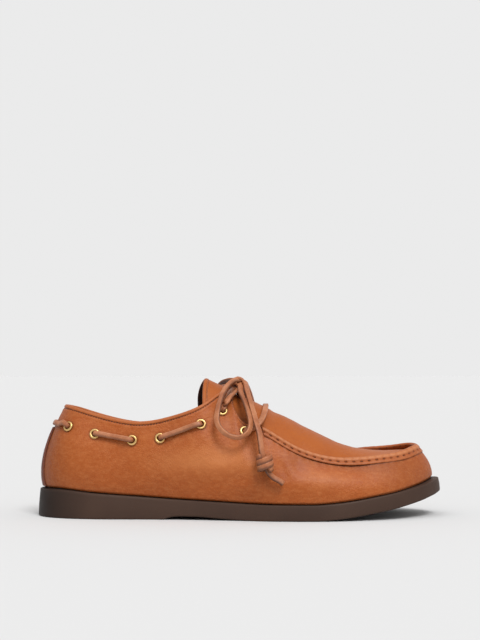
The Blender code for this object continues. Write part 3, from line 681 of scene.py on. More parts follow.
def thong_finish(name, light, mid, dark):
    f = Finish(name, Coat_Weight=0.08, Coat_Roughness=0.4)
    light, mid, dark = linear(*light), linear(*mid), linear(*dark)
    streak = f.noise(900.0, 3.0, 0.6)
    colour = f.mix(f.span(f.noise(90.0, 3.0, 0.6), 0.35, 0.66), mid, light)
    colour = f.shade(f.tint(colour, streak, 0.5, 0.8, 0.4, dark), dimmed(dark, 0.22))
    height = f.sum((streak, 1.0), (f.noise(3200.0, 2.0), 0.5))
    return f.finish(colour, f.span(streak, 0.3, 0.7, 0.42, 0.6), height, 0.35, 0.0001)


def rubber_finish():
    f = Finish("rubber_brown_moulded", Specular_IOR_Level=0.22)
    speck = f.noise(2200.0, 2.0, 0.6)
    colour = f.mix(f.span(f.noise(22.0, 2.0), 0.35, 0.65), linear(62, 44, 35), linear(70, 51, 41))
    colour = f.shade(f.tint(colour, speck, 0.55, 0.8, 0.35, linear(84, 64, 54)), linear(14, 10, 9))
    height = f.sum((speck, 1.0), (f.noise(600.0, 2.0), 0.6))
    return f.finish(colour, f.span(f.noise(70.0), 0.3, 0.7, 0.5, 0.64), height, 0.3, 0.00012)


def brass_finish():
    f = Finish("brass_polished", Metallic=1.0)
    wear = f.noise(700.0, 4.0, 0.65)
    colour = f.mix(f.span(wear, 0.35, 0.7), linear(238, 204, 140), linear(214, 172, 104))
    return f.finish(colour, f.span(wear, 0.3, 0.7, 0.30, 0.46), f.noise(500.0, 2.0), 0.05, 0.00004)


# Light, middle and dark colour of each leather (the light one also gives the painted highlights, the dark one,
# dimmed, the painted shade), how strong its grain is, and its roughness and coat where they differ
LINING_SHEEN = ((0.6, 0.75), 0.0)
LEATHERS = {
    "tan": ("leather_tan_grain", (204, 130, 76), (168, 85, 28), (145, 65, 15), 1.0),
    "apron": ("leather_apron", (186, 106, 42), (167, 86, 26), (148, 70, 16), 0.6),
    "edge": ("leather_seam", (208, 140, 94), (160, 82, 34), (130, 60, 18), 0.5),
    "collar": ("leather_collar", (190, 116, 70), (172, 93, 42), (140, 68, 28), 0.5),
    "backstay": ("leather_backstay", (140, 80, 58), (116, 60, 42), (92, 44, 30), 0.5),
    "lining": ("lining_leather", (150, 92, 58), (126, 74, 44), (100, 56, 34), 0.3, *LINING_SHEEN),
    "dark_lining": ("tongue_lining", (96, 56, 42), (74, 42, 31), (56, 32, 24), 0.3, *LINING_SHEEN),
}
THREADS = {
    "thong": ("thong_leather", (192, 124, 82), (164, 94, 54), (112, 58, 28)),
    "thread": ("thread_tan", (184, 112, 70), (160, 86, 46), (112, 56, 28)),
    "dark_thread": ("thread_dark", (92, 44, 26), (74, 34, 20), (48, 22, 14)),
}


def make_materials():
    made = {key: leather(*values) for key, values in LEATHERS.items()}
    made.update({key: thong_finish(*values) for key, values in THREADS.items()})
    made["rubber"] = rubber_finish()
    made["brass"] = brass_finish()
    return made


MATERIALS = make_materials()

# Thong routes, repeated from the solids
KNOT_AT = (110.6, -1.0, 96.8)
LACE_TO_KNOT = ((101.6, -32.0, 82.6), (104.6, -27.2, 87.4), (107.6, -18.5, 90.2), (109.4, -7.4, 92.6))
NEAR_LOOP = (
    (108.2, -7.6, 99.4), (103.6, -15.0, 96.4), (100.8, -22.5, 92.5), (98.7, -29.0, 88.1), (96.4, -39.4, 79.3),
    (95.5, -45.0, 71.2), (97.7, -48.2, 65.9), (103.8, -50.2, 60.8), (110.9, -50.8, 59.3), (117.1, -49.8, 62.2),
    (119.5, -46.4, 68.1), (118.0, -39.5, 76.1), (114.3, -26.5, 85.9), (112.6, -18.5, 90.5), (112.0, -8.6, 95.0),
)
FAR_LOOP = (
    (109.0, 5.4, 99.0), (103.6, 12.8, 99.0), (97.6, 20.0, 96.4), (93.6, 31.5, 88.0), (93.2, 39.5, 79.0),
    (96.8, 44.5, 70.0), (104.5, 47.5, 63.9), (112.5, 48.0, 63.8), (117.0, 46.0, 70.0), (116.8, 37.5, 80.0),
    (114.6, 22.0, 90.0), (112.2, 6.6, 94.8),
)
NEAR_END = (
    (115.6, -5.0, 97.2), (117.0, -16.0, 92.4), (119.2, -27.0, 84.8), (121.0, -35.4, 78.6), (123.7, -46.6, 68.8),
    (125.3, -50.4, 63.6), (126.7, -54.4, 53.4), (127.3, -55.5, 49.2),
)
NEAR_BARREL = (129.4, -56.2, 41.6)
NEAR_TAIL = ((132.3, -56.0, 33.0), (135.3, -55.6, 31.5), (138.9, -55.2, 29.5), (142.4, -54.8, 27.2))
FAR_END = (
    (115.6, 3.4, 97.4), (116.9, 9.0, 95.2), (119.6, 19.5, 88.4), (122.8, 34.5, 77.0), (124.8, 42.0, 69.5),
    (126.4, 46.6, 61.0), (128.6, 51.6, 50.0), (129.4, 53.0, 46.0),
)
FAR_BARREL = (130.0, 54.4, 37.8)
FAR_TAIL = ((130.9, 55.0, 29.6), (132.8, 55.4, 27.2), (135.6, 55.4, 24.6), (138.2, 55.2, 21.4))
BAR_ROUTE = (
    (121.0, -41.0, 66.0), (125.4, -37.8, 68.6), (128.6, -30.2, 73.3), (130.6, -16.0, 79.0), (131.2, 0.0, 81.0),
    (130.6, 16.0, 78.8), (128.4, 29.2, 73.3), (125.4, 36.8, 68.6), (121.0, 40.0, 66.0),
)
NEAR_TURN = (131.9, -56.4, 35.2)
KNOT_PLACES = ((111.4, -4.6, 99.4), (111.2, -4.4, 96.6), (110.8, 3.4, 99.0), (111.2, 3.2, 95.4),
               (113.4, -2.6, 98.6), (113.2, 1.4, 98.6))


def eyelet_rows():
    start, end = EYELET_SEARCH
    places = []
    for side, low, high in (("lateral", start, end), ("medial", ROWS - end, ROWS - start)):
        for k, (along, drop) in enumerate(EYELETS, 1):
            places.append((row_at(along, drop, low, high), drop, "eyelet_%s_%d" % (side, k)))
    return places


EYELET_PLACES = eyelet_rows()


def wall_matrix(row, drop):
    point, normal, upward = wall_point(row, drop)
    z_axis, y_axis = Vector(normal), Vector(upward)
    x_axis = y_axis.cross(z_axis).normalized()
    y_axis = z_axis.cross(x_axis)
    made = Matrix((x_axis, y_axis, z_axis)).transposed().to_4x4()
    made.translation = Vector(point)
    return made


def lace_height(inside):
    if inside:
        return -(WALL + 2 * GAP + LACE_DIAMETER / 2)
    return EYELET_FLANGE + GAP + THONG_THICKNESS / 2


def lace_pass(row, drop, before, after, comes_out):
    """Points of the thong through one bore, and the way its flat side looks at each of them."""
    place = wall_matrix(row, drop)

    def turn(towards, outside):
        way = place.inverted() @ Vector(towards)
        way.z = 0.0
        way.normalize()
        levels = [lace_height(False) * share for share in (0.70, 1.06, 1.10)]
        if not outside:
            levels = [-(WALL + GAP + LACE_DIAMETER / 8) - LACE_TURN * share for share in (0.0, 0.8, 1.0)]
        return [way * LACE_TURN * reach + Vector((0.0, 0.0, level)) for reach, level in zip((0.0, 1.0, 2.2), levels)]

    normal = np.array(place)[:3, 2]
    along = unit(np.asarray(after, float) - np.asarray(before, float))
    back = -along if comes_out else along
    route = turn(before, not comes_out)[::-1] + turn(after, comes_out)
    looks = [normal, unit(normal + 0.6 * back), back]
    return [np.array(place @ point) for point in route], looks + looks[::-1]


def lace_run(start, end, inside, count):
    """Points of a run between two bores: straight outside, along the wall inside and round the heel."""
    if count == 1 and not inside:
        ends = [wall_point(stop[0], stop[1], lace_height(False)) for stop in (start, end)]
        return [0.5 * (ends[0][0] + ends[1][0])], [unit(ends[0][1] + ends[1][1])]
    points, looks = [], []
    for share in np.linspace(0.0, 1.0, count + 2)[1:-1]:
        row = start[0] + (end[0] - start[0]) * share
        drop = start[1] + (end[1] - start[1]) * share
        point, normal, upward = wall_point(row, drop, lace_height(inside) - (0.0 if inside else HEEL_WRAP_SINK))
        points.append(point)
        looks.append(normal)
    return points, looks


def side_lace_points():
    stops = list(reversed(EYELET_PLACES[:6])) + [(row - ROWS, drop, name) for row, drop, name in EYELET_PLACES[7:13]]
    near = [np.array(point) * MM for point in reversed(LACE_TO_KNOT)]
    far = [point * (1.0, -1.0, 1.0) for point in reversed(near)]
    points = list(near)
    looks = [np.array((-0.45, -0.60, 0.66))] * len(near)
    inside = False
    for k, (row, drop, name) in enumerate(stops):
        before = near[-1] if k == 0 else wall_point(stops[k - 1][0], stops[k - 1][1])[0]
        after = far[0] if k == len(stops) - 1 else wall_point(stops[k + 1][0], stops[k + 1][1])[0]
        through, ways = lace_pass(row, drop, before, after, inside)
        points += through
        looks += ways
        inside = not inside
        if k < len(stops) - 1:
            through, ways = lace_run(stops[k], stops[k + 1], inside, 5 if k == 5 else 1)
            points += through
            looks += ways
    looks += [np.array((-0.45, 0.60, 0.66))] * len(far)
    return np.array(points + far), np.array(looks)


def spread(line, points, looks):
    """Directions along a line, taken from the nearest route points."""
    near = np.sum((line[:, None] - points[None]) ** 2, -1)
    share = 1.0 / (near + LOOK_REACH ** 2) ** 2
    return unit(share @ looks)


def bore_share(line):
    """How wide a flat thong is along its line: drawn together where it passes a bore."""
    bores = np.array([wall_point(row, drop)[0] for row, drop, name in EYELET_PLACES])
    near = np.min(np.linalg.norm(line[:, None] - bores[None], axis=-1), 1)
    return 1.0 - BORE_PINCH * bell(near, 0.0, BORE_REACH)


def from_middle_line(points):
    """Outward directions for points near the shoe: away from its middle line."""
    middle = np.stack([np.clip(points[:, 0], 0.005, 0.22), np.zeros(len(points)), np.full(len(points), 0.030)], 1)
    return unit(points - middle)


def length_of(line):
    return round(float(np.linalg.norm(np.diff(line, axis=0), axis=1).sum()), 3)


def add_free_cord(line):
    length_of(line)


def make_side_thong():
    route, looks = side_lace_points()
    line = smoothed(spline(route, SIDE_POINTS, 1.0), 5)
    # painted shade on the thong's underside
    add_thong("side_thong", line, spread(line, route, looks), 3, shade_side=DOWN, dark=0.45,
              narrow=bore_share(line), nodes=["side_lace"])


def make_front_thong():
    near, far = EYELET_PLACES[6], EYELET_PLACES[13]
    route = np.array(BAR_ROUTE) * MM
    points = lace_pass(near[0], near[1], wall_point(near[0], near[1] * 2)[0], route[0], True)[0][2:]
    points += list(route[1:-1])
    points += lace_pass(far[0], far[1], route[-1], wall_point(far[0], far[1] * 2)[0], False)[0][:-2]
    line = smoothed(spline(points, BAR_POINTS, 1.0), 4)
    add_thong("front_thong", line, from_middle_line(line), 5, narrow=bore_share(line), nodes=["front_bar"])


def make_loop(name, route, node, seed, tilt, shade_side, dark):
    """A loop of the bow, its flat side turned by the tilt and by a second tilt near the loop's low end."""
    line = spline(route, LOOP_POINTS)
    inward = unit(line.mean(0) - line)
    angle = np.radians(tilt[0] + tilt[1] * bell(np.linspace(0.0, 1.0, len(line)), 0.53, 0.13))[:, None]
    up = unit(-inward * np.cos(angle) + np.array((0.0, -1.0, 0.0)) * np.sin(angle))
    # painted shade on the side given, by default the loop's inner face; it also stands for the darker flesh side
    piece = add_thong(name, line, up, seed, shade_side=inward if shade_side is None else shade_side, dark=dark,
                      nodes=[node])
    add_free_cord(line)


def make_end(side_name, route, barrel_at, seed, side):
    """A free end of the thong with its barrel knot."""
    line = spline(route, END_POINTS)
    # painted shade on the end's lower, rear side
    piece = add_thong(side_name + "_end", line, (0.42, side * 0.80, 0.42), seed, shade_side=(-0.6, 0.0, -0.8),
                      dark=0.60, nodes=["end_" + side_name, "tail_" + side_name])
    middle = np.array(barrel_at) * MM
    barrel = make_barrel(side_name + "_barrel", middle, seed + 5, side, BARREL_RADIUS, BARREL_TURNS,
                         ["barrel_" + side_name])
    core = make_barrel(side_name + "_barrel_core", middle, seed + 6, side, CORE_RADIUS, CORE_TURNS, [])
    add_free_cord(line)


def make_lacing():
    make_side_thong()
    make_front_thong()
    knot = make_knot()
    # painted shade on the near loop's inner face and on the far loop's face towards -y, both also standing for the
    # darker flesh side
    make_loop("near_loop", (KNOT_PLACES[0], *NEAR_LOOP, KNOT_PLACES[1]), "loop_near", 11, (52.0, -34.0),
              None, 0.55)
    make_loop("far_loop", (KNOT_PLACES[2], *FAR_LOOP, KNOT_PLACES[3]), "loop_far", 12, (66.0, 0.0),
              (0.0, -1.0, 0.0), 0.85)
    make_end("near", (KNOT_PLACES[4], *NEAR_END, NEAR_BARREL, NEAR_TURN, *NEAR_TAIL[1:]), NEAR_BARREL, 21, -1.0)
    make_end("far", (KNOT_PLACES[5], *FAR_END, FAR_BARREL, *FAR_TAIL), FAR_BARREL, 22, 1.0)


def make_barrel(name, middle, seed, side, reach, turns, nodes):
    """A barrel knot: the thong wound in slanted turns round its own end."""
    axis = unit(np.array((-0.16, 0.0, 1.0)))
    right = unit(np.cross((0.0, 1.0, 0.0), axis))
    front = np.cross(axis, right)
    t = np.linspace(-turns / 2, turns / 2, 240)
    angle = -side * t * 2 * math.pi - side * math.pi / 2
    ring = np.cos(angle)[:, None] * right + np.sin(angle)[:, None] * front
    ease = 1.0 - 0.30 * fade(np.abs(t), turns / 2 - 0.22, turns / 2)
    points = middle + ring * (reach * ease)[:, None] + axis * (t * BARREL_PITCH + 0.0005 * np.cos(angle))[:, None]
    # painted shade on the undersides of the turns
    return add_thong(name, points, ring, seed, *BARREL_CUT, shade_side=DOWN, dark=0.6, nodes=nodes)


# Width, thickness, squareness and points round of the thong in the barrel knots and the bow's knot
BARREL_CUT = (0.0044, 0.0023)
BAND_CUT = (0.0044, 0.0024, 3.6)
CROSS_CUT = (0.0036, 0.0024, 3.6, 18)
BAND_B_CUT = (0.0034, 0.0022, 3.6, 18)
STRAND_CUT = (0.0046, 0.0022, 3.6, 18)
# Strands between the knot and the tongue, with painted shade on their front (-y) side, with their seeds
KNOT_STRANDS = (
    ("bow_strand_a", ((101.0, -29.0, 84.4), (103.2, -22.5, 88.0), (105.2, -15.0, 91.2), (108.0, -6.0, 93.2),
                      (112.5, 0.0, 92.6)), 35),
    ("bow_strand_b", ((94.0, 30.0, 86.6), (95.6, 23.0, 90.4), (97.8, 14.0, 93.6), (101.0, 6.5, 94.2),
                      (106.0, 2.0, 94.8), (111.0, 0.0, 95.2)), 36),
    ("bow_strand_c", ((105.5, 2.0, 90.6), (109.0, 0.0, 91.6), (113.0, 0.0, 91.0), (117.0, 3.0, 88.0)), 37),
    ("bow_strand_d", ((108.0, -3.0, 94.8), (110.4, -6.0, 92.0), (112.2, -9.0, 88.6), (113.4, -11.0, 85.4)), 38),
)


def circle(start, end, count):
    """Points of an upright ring, with their angles."""
    t = np.linspace(start, end, count) * 2 * math.pi
    return t, np.stack([np.cos(t), 0 * t, np.sin(t)], 1)


def make_knot():
    """The bow's knot: a band wound over the middle, with the crossed strands under it."""
    centre = np.array(KNOT_AT) * MM
    t, ring = circle(-0.35, 1.15, 200)
    points = centre + ring * (0.0044, 1.0, 0.0042) + np.stack(
        [0 * t, -0.0034 + 0.0046 * (t / (2 * math.pi)), 0 * t], 1)
    # painted shade on the band's underside
    pieces = [add_thong("bow_band", points, ring, 31, *BAND_CUT, shade_side=DOWN, dark=0.5, nodes=["bow_knot"])]
    t = np.linspace(-1.0, 1.0, 60)
    for name, shift, seed in (("bow_cross_a", 0.0016, 32), ("bow_cross_b", -0.0018, 33)):
        points = centre + np.stack([shift + 0.001 * t, 0.0074 * t, 0.0009 * np.cos(2.2 * t) + shift * 0.6 * t], 1)
        pieces.append(add_thong(name, points, (0.0, 0.0, 1.0), seed, *CROSS_CUT))
    t, ring = circle(-0.1, 1.0, 90)
    points = centre + ring * 0.0038 + np.stack([0.0002 + 0 * t, 0.0036 - 0.0006 * t / 6.28, -0.0004 + 0 * t], 1)
    pieces.append(add_thong("bow_band_b", points, ring, 34, *BAND_B_CUT))
    # painted shade on the strands' front (-y) side
    for name, route, seed in KNOT_STRANDS:
        pieces.append(add_thong(name, spline(route, STRAND_POINTS), (-0.4, -0.8, 0.4), seed, *STRAND_CUT,
                                shade_side=(0.0, -1.0, 0.0), dark=0.7))
    return pieces


make_lacing()


# Stitches
# Material, length, radius, lift, flatness and slant of each kind of stitch
STITCH_KINDS = {
    "flap": ("thread", 0.0021, 0.00032, -0.0001, 0.7, 0.0),
    "tongue": ("thread", 0.0019, 0.00030, 0.0001, 0.7, 0.0),
    "apron": ("dark_thread", 0.0020, 0.00034, 0.0, 0.6, 0.4),
    "moc": ("dark_thread", 0.0018, 0.00026, 0.0, 0.6, 0.10),
    "collar": ("dark_thread", 0.0015, 0.00028, 0.0, 0.7, 0.15),
    "backstay": ("dark_thread", 0.0021, 0.00036, 0.0, 0.7, 0.0),
}


def add_stitches(name, kind, points, ways, normals):
    """Short threads laid on a surface, one for each point, along its direction."""
    material, length, radius, lift, flat, slant = STITCH_KINDS[kind]
    rings, segments = 5, 6
    reach, turn = np.meshgrid(np.linspace(-1.0, 1.0, rings), np.linspace(0.0, 2 * math.pi, segments, endpoint=False),
                              indexing="ij")
    thick = radius * np.sqrt(np.maximum(1.0 - np.abs(reach) ** 2.6, 0.02))
    shape = np.stack([reach * length / 2, np.cos(turn) * thick, np.sin(turn) * flat * thick], -1).reshape(-1, 3)
    ways = unit(ways + unit(np.cross(normals, ways)) * slant)
    sides = unit(np.cross(normals, ways))
    verts = (points[:, None] + normals[:, None] * lift + ways[:, None] * shape[None, :, :1]
             + sides[:, None] * shape[None, :, 1:2] + normals[:, None] * shape[None, :, 2:])
    count = rings * segments
    base = quads(rings, segments, False, True)
    faces = []
    for k in range(len(points)):
        faces += (base[:, ::-1] + k * count).tolist()
        faces.append([k * count + j for j in range(segments)])
        faces.append([k * count + count - segments + j for j in range(segments)][::-1])
    made = add_mesh(name, verts, faces, [material], np.ones(len(points) * count))
    return dress(fix_normals(made), "leather_edge")


def wall_line(start, end, drop, spacing):
    """Evenly spaced points, directions and normals along the wall at a drop below the edge."""
    points, normals, ups = (a[:, 0] for a in on_wall(np.linspace(start, end, 1200), [drop], [0.0]))
    run = run_along(points)
    count = max(int(run[-1] / spacing), 1)
    places = (np.arange(count) + 0.5) * run[-1] / count
    ways = unit(np.gradient(points, axis=0))
    return [at_places(points, run, places), unit(at_places(ways, run, places)), unit(at_places(normals, run, places))]


def wall_stops(rows, drop, lift):
    """Points, directions and normals of the wall at single rows."""
    points, normals, ups = (a[:, 0] for a in on_wall(rows, [drop], lift))
    ahead = on_wall(rows + 0.01, [drop], lift)[0][:, 0]
    return points, unit(ahead - points), normals


# The upper
# Soft swells and hollows of the outer side, in millimetres: place along the shoe, height, half width,
# half height and depth
SWELLS = (
    (112.0, 40.0, 30.0, 9.0, 0.9), (128.0, 24.0, 20.0, 7.0, 0.8), (170.0, 27.0, 26.0, 7.0, 1.2),
    (158.0, 39.0, 16.0, 6.0, -0.6), (196.0, 36.0, 26.0, 5.0, -0.6), (98.0, 66.0, 8.0, 7.0, 0.7),
    (76.0, 52.0, 22.0, 14.0, 0.5), (92.0, 25.0, 26.0, 8.0, -0.6), (40.0, 45.0, 26.0, 16.0, -0.4),
    (140.0, 32.0, 6.0, 12.0, -0.5), (215.0, 40.0, 14.0, 7.0, 0.5), (10.0, 52.0, 18.0, 14.0, 0.4),
)
# Fine creases, each a line of (x, z) in millimetres, its width and depth
CREASES = (
    (((138.0, 44.0), (143.0, 36.0), (146.0, 28.0)), 2.6, 0.45),
    (((150.0, 43.0), (154.0, 36.0), (160.0, 31.0)), 3.0, 0.40),
    (((124.0, 34.0), (116.0, 30.0), (104.0, 29.0)), 3.4, 0.35),
    (((88.0, 46.0), (98.0, 43.0), (112.0, 46.0)), 3.2, 0.30),
    (((92.0, 76.0), (89.0, 66.0), (90.0, 58.0)), 2.6, 0.35),
)
# Painted highlights (lighter) and painted shade (darker) in patches, in the same way, with the change of tone
LIGHT_SHADE_PATCHES = (
    (92.0, 43.0, 30.0, 9.0, 0.50), (171.0, 30.5, 20.0, 6.0, 0.26), (-36.0, 45.0, 22.0, 40.0, -0.38),
    (236.0, 30.0, 26.0, 14.0, -0.22), (198.0, 42.0, 30.0, 7.0, -0.36), (150.0, 36.0, 7.0, 9.0, -0.10),
    (60.0, 40.0, 12.0, 6.0, 0.14), (122.0, 38.0, 12.0, 6.0, 0.12), (165.0, 47.0, 22.0, 5.0, -0.22),
)


def crease_depth(x, z):
    total = np.zeros(np.shape(x))
    for line, width, depth in CREASES:
        nearest = np.full(np.shape(x), 1e9)
        share = np.zeros(np.shape(x))
        pts = np.array(line)
        for k, (a, b) in enumerate(zip(pts[:-1], pts[1:])):
            way = b - a
            t = np.clip(((x - a[0]) * way[0] + (z - a[1]) * way[1]) / (way @ way), 0.0, 1.0)
            d = np.hypot(x - a[0] - t * way[0], z - a[1] - t * way[1])
            closer = d < nearest
            share = np.where(closer, (k + t) / (len(pts) - 1), share)
            nearest = np.minimum(nearest, d)
        ends = np.sin(np.clip(share, 0.0, 1.0) * math.pi) ** 0.5
        total -= depth * ends * bell(nearest, 0.0, width)
        total += depth * 0.3 * ends * bell(nearest, 2.0 * width, 1.4 * width)
    return total


def hills(x, z, table):
    """The sum of soft round hills, each with middle, half width, half height and size."""
    total = np.zeros(x.shape)
    for middle_x, middle_z, wide, tall, size in table:
        total += size * np.exp(-((x - middle_x) / wide) ** 2 - ((z - middle_z) / tall) ** 2)
    return total


def relief(points, rows, drops, lengths):
    """How far the leather stands out of the plain wall, in metres, and its tone, which holds painted shade and
    painted highlights.
    """
    x, z = points[..., 0] / MM, points[..., 2] / MM
    height = hills(x, z, SWELLS) + crease_depth(x, z)
    height += 0.22 * waves(points, 0.030, 5, 20) + 0.07 * waves(points, 0.010, 6, 20)
    # painted highlights and painted shade in soft patches
    tone = 1.0 + hills(x, z, LIGHT_SHADE_PATCHES)
    from_foot = lengths - drops
    row_from_heel = np.minimum(rows, ROWS - rows)
    # no relief at the foot and under the edge bands
    height *= MM * fade(from_foot, 0.0, 0.006) * fade(drops, 0.0, 0.005)
    # the leather tucks in at the sole, with painted shade along the tuck
    height -= TUCK_DEPTH * (1.0 - fade(from_foot, 0.0, 0.0016))
    tone -= 0.55 * (1.0 - fade(from_foot, 0.0, 0.0022))
    # pulled in a little round the eyelets, with a hole in each; painted shade darkens each hole and a thin ring just
    # outside each eyelet
    for row, drop, name in EYELET_PLACES:
        near = np.linalg.norm(points - wall_point(row, drop)[0], axis=-1)
        height -= 0.0005 * bell(near, 0.0, 0.0055) + HOLE_DEPTH * (1.0 - fade(near, 0.0013, 0.0022))
        tone -= 0.35 * bell(np.maximum(near, 0.0038), 0.0038, 0.0008) + 0.9 * (1.0 - fade(near, 0.0013, 0.0020))
    # puckers under the moc seam, and a painted shade line just under its lip
    seam = fade(row_from_heel, SEAM_START_ROW - 0.2, SEAM_START_ROW + 0.3)
    below = np.maximum(drops - SEAM_HEIGHT, 0.0)
    height += seam * 0.00010 * np.cos(SEAM_PHASE(rows) * 2 * math.pi) * np.exp(-below / 0.004)
    tone -= seam * 0.55 * bell(below, 0.0, 0.0007) * (drops > SEAM_HEIGHT - 0.0006)
    # the stitched line along the flap's edge, a groove with painted shade in it
    flap = fade(row_from_heel, 5.5, 5.8) * (1.0 - fade(row_from_heel, 9.2, 9.4))
    height -= flap * 0.00030 * bell(drops, FLAP_STITCH, 0.0006)
    tone -= flap * 0.30 * bell(drops, FLAP_STITCH, 0.0005)
    # the groove under the collar's binding, with painted shade in it
    collar = 1.0 - fade(row_from_heel, BINDING_END_ROW - 0.1, BINDING_END_ROW + 0.2)
    height -= collar * 0.00012 * bell(drops, BINDING_HEIGHT + 0.0004, 0.0006)
    height += collar * 0.00022 * bell(drops, BINDING_HEIGHT + 0.0020, 0.0010)
    tone -= collar * 0.10 * bell(drops, BINDING_HEIGHT + 0.0003, 0.0006)
    return height, tone


def seam_phase():
    """The number of stitches from the seam's start, for any row, and how many there are."""
    rows = np.linspace(SEAM_START_ROW, ROWS - SEAM_START_ROW, 1500)
    run = run_along(on_wall(rows, [SEAM_STITCH_DROP], 0.0)[0][:, 0])
    count = round(run[-1] / SEAM_STITCH_SPACING)
    phase = run / run[-1] * count
    return (lambda r: np.interp(r, rows, phase)), count


SEAM_PHASE, SEAM_COUNT = seam_phase()


def make_upper():
    rows = np.linspace(0.0, ROWS, UPPER_ROWS, endpoint=False)
    total = wall_runs(rows)[:, -1:]
    edge = WALL / 2
    outer = np.linspace(0.0, 1.0, 88)
    bend = np.linspace(0.0, math.pi, 7)[1:-1]
    inner = np.linspace(0.0, 1.0, 12)
    drops = np.concatenate([total + (edge - total) * outer, edge * (1 - np.sin(bend)) + 0.0 * total,
                            edge + (total - edge) * inner], 1)
    offsets = np.concatenate([np.zeros(len(outer)), -edge + edge * np.cos(bend), np.full(len(inner), -WALL)])
    points, normals, ups = on_wall(rows, drops, offsets)
    height, tone = relief(points, rows[:, None] + 0.0 * drops, drops, total + 0.0 * drops)
    share = np.concatenate([np.ones(len(outer)), np.linspace(1.0, 0.0, len(bend) + 2)[1:-1], np.zeros(len(inner))])
    points = points + normals * (height * share)[..., None]
    out = np.where((offsets > -WALL * 0.9)[None, :, None], normals, -normals)
    tone = 1.0 + (tone - 1.0) * share
    made = add_grid("upper_leather", points, ["tan", "lining"], out, close_rows=True, tones=tone)
    second_material(made, np.tile(np.arange(drops.shape[1] - 1) >= len(outer) + len(bend) - 1, len(rows)))
    dress(made, "leather_tan", "upper")
    start, end = FLAP_ROWS
    add_stitches("flap_stitches_lateral", "flap", *wall_line(start, end, FLAP_STITCH, FLAP_SPACING))
    add_stitches("flap_stitches_medial", "flap", *wall_line(ROWS - end, ROWS - start, FLAP_STITCH, FLAP_SPACING))


make_upper()


# Apron and tongue
def sheet_points(rows, q, side_values):
    """The apron and tongue: sections between the rows, across from the lateral edge to the medial one."""
    crown, bow, lap = (curve_of([(row[0], row[k]) for row in SHEET_ROWS])(rows) for k in (1, 2, 3))
    lap = np.maximum(lap, 0.0)
    is_tongue = fade(lap, 0.0, 0.1)
    inside = -(WALL + SEAT_GAP + (TONGUE_GAP - SEAT_GAP) * is_tongue)
    drop = APRON_DROP * (1.0 - is_tongue)
    low = drop + np.maximum(lap * TONGUE_LAP, 2 * EDGE_STEP)
    run = drop[:, None] + (low - drop)[:, None] * side_values[None]
    left_run, right_run = (on_wall(at, run, inside[:, None])[0] for at in (rows, ROWS - rows))
    left, right = left_run[:, 0], right_run[:, 0]
    centre = 0.5 * (left + right)
    reach = bow * SOLE_LENGTH
    crown_rise = seat(centre[:, 0] + reach) + crown * TONGUE_RISE - centre[:, 2]
    points = left[:, None] + (right - left)[:, None] * 0.5 * (q[None, :, None] + 1.0)
    points[..., 0] += reach[:, None] * (1.0 - q[None] ** 2)
    points[..., 2] += crown_rise[:, None] * (1.0 - np.abs(q[None]) ** CROWN_POWER)
    return np.concatenate([left_run[:, ::-1][:, :-1], points, right_run[:, 1:]], 1)


def grid_normals(grid):
    normal = unit(np.cross(np.gradient(grid, axis=0), np.gradient(grid, axis=1)))
    return -normal if np.sum(normal[..., 2]) < 0.0 else normal


# Place along the shoe, half width and depth of each fold, in millimetres
APRON_FOLDS = ((158.0, 5.0, -0.35), (170.0, 6.0, 0.25), (139.0, 4.0, -0.25))


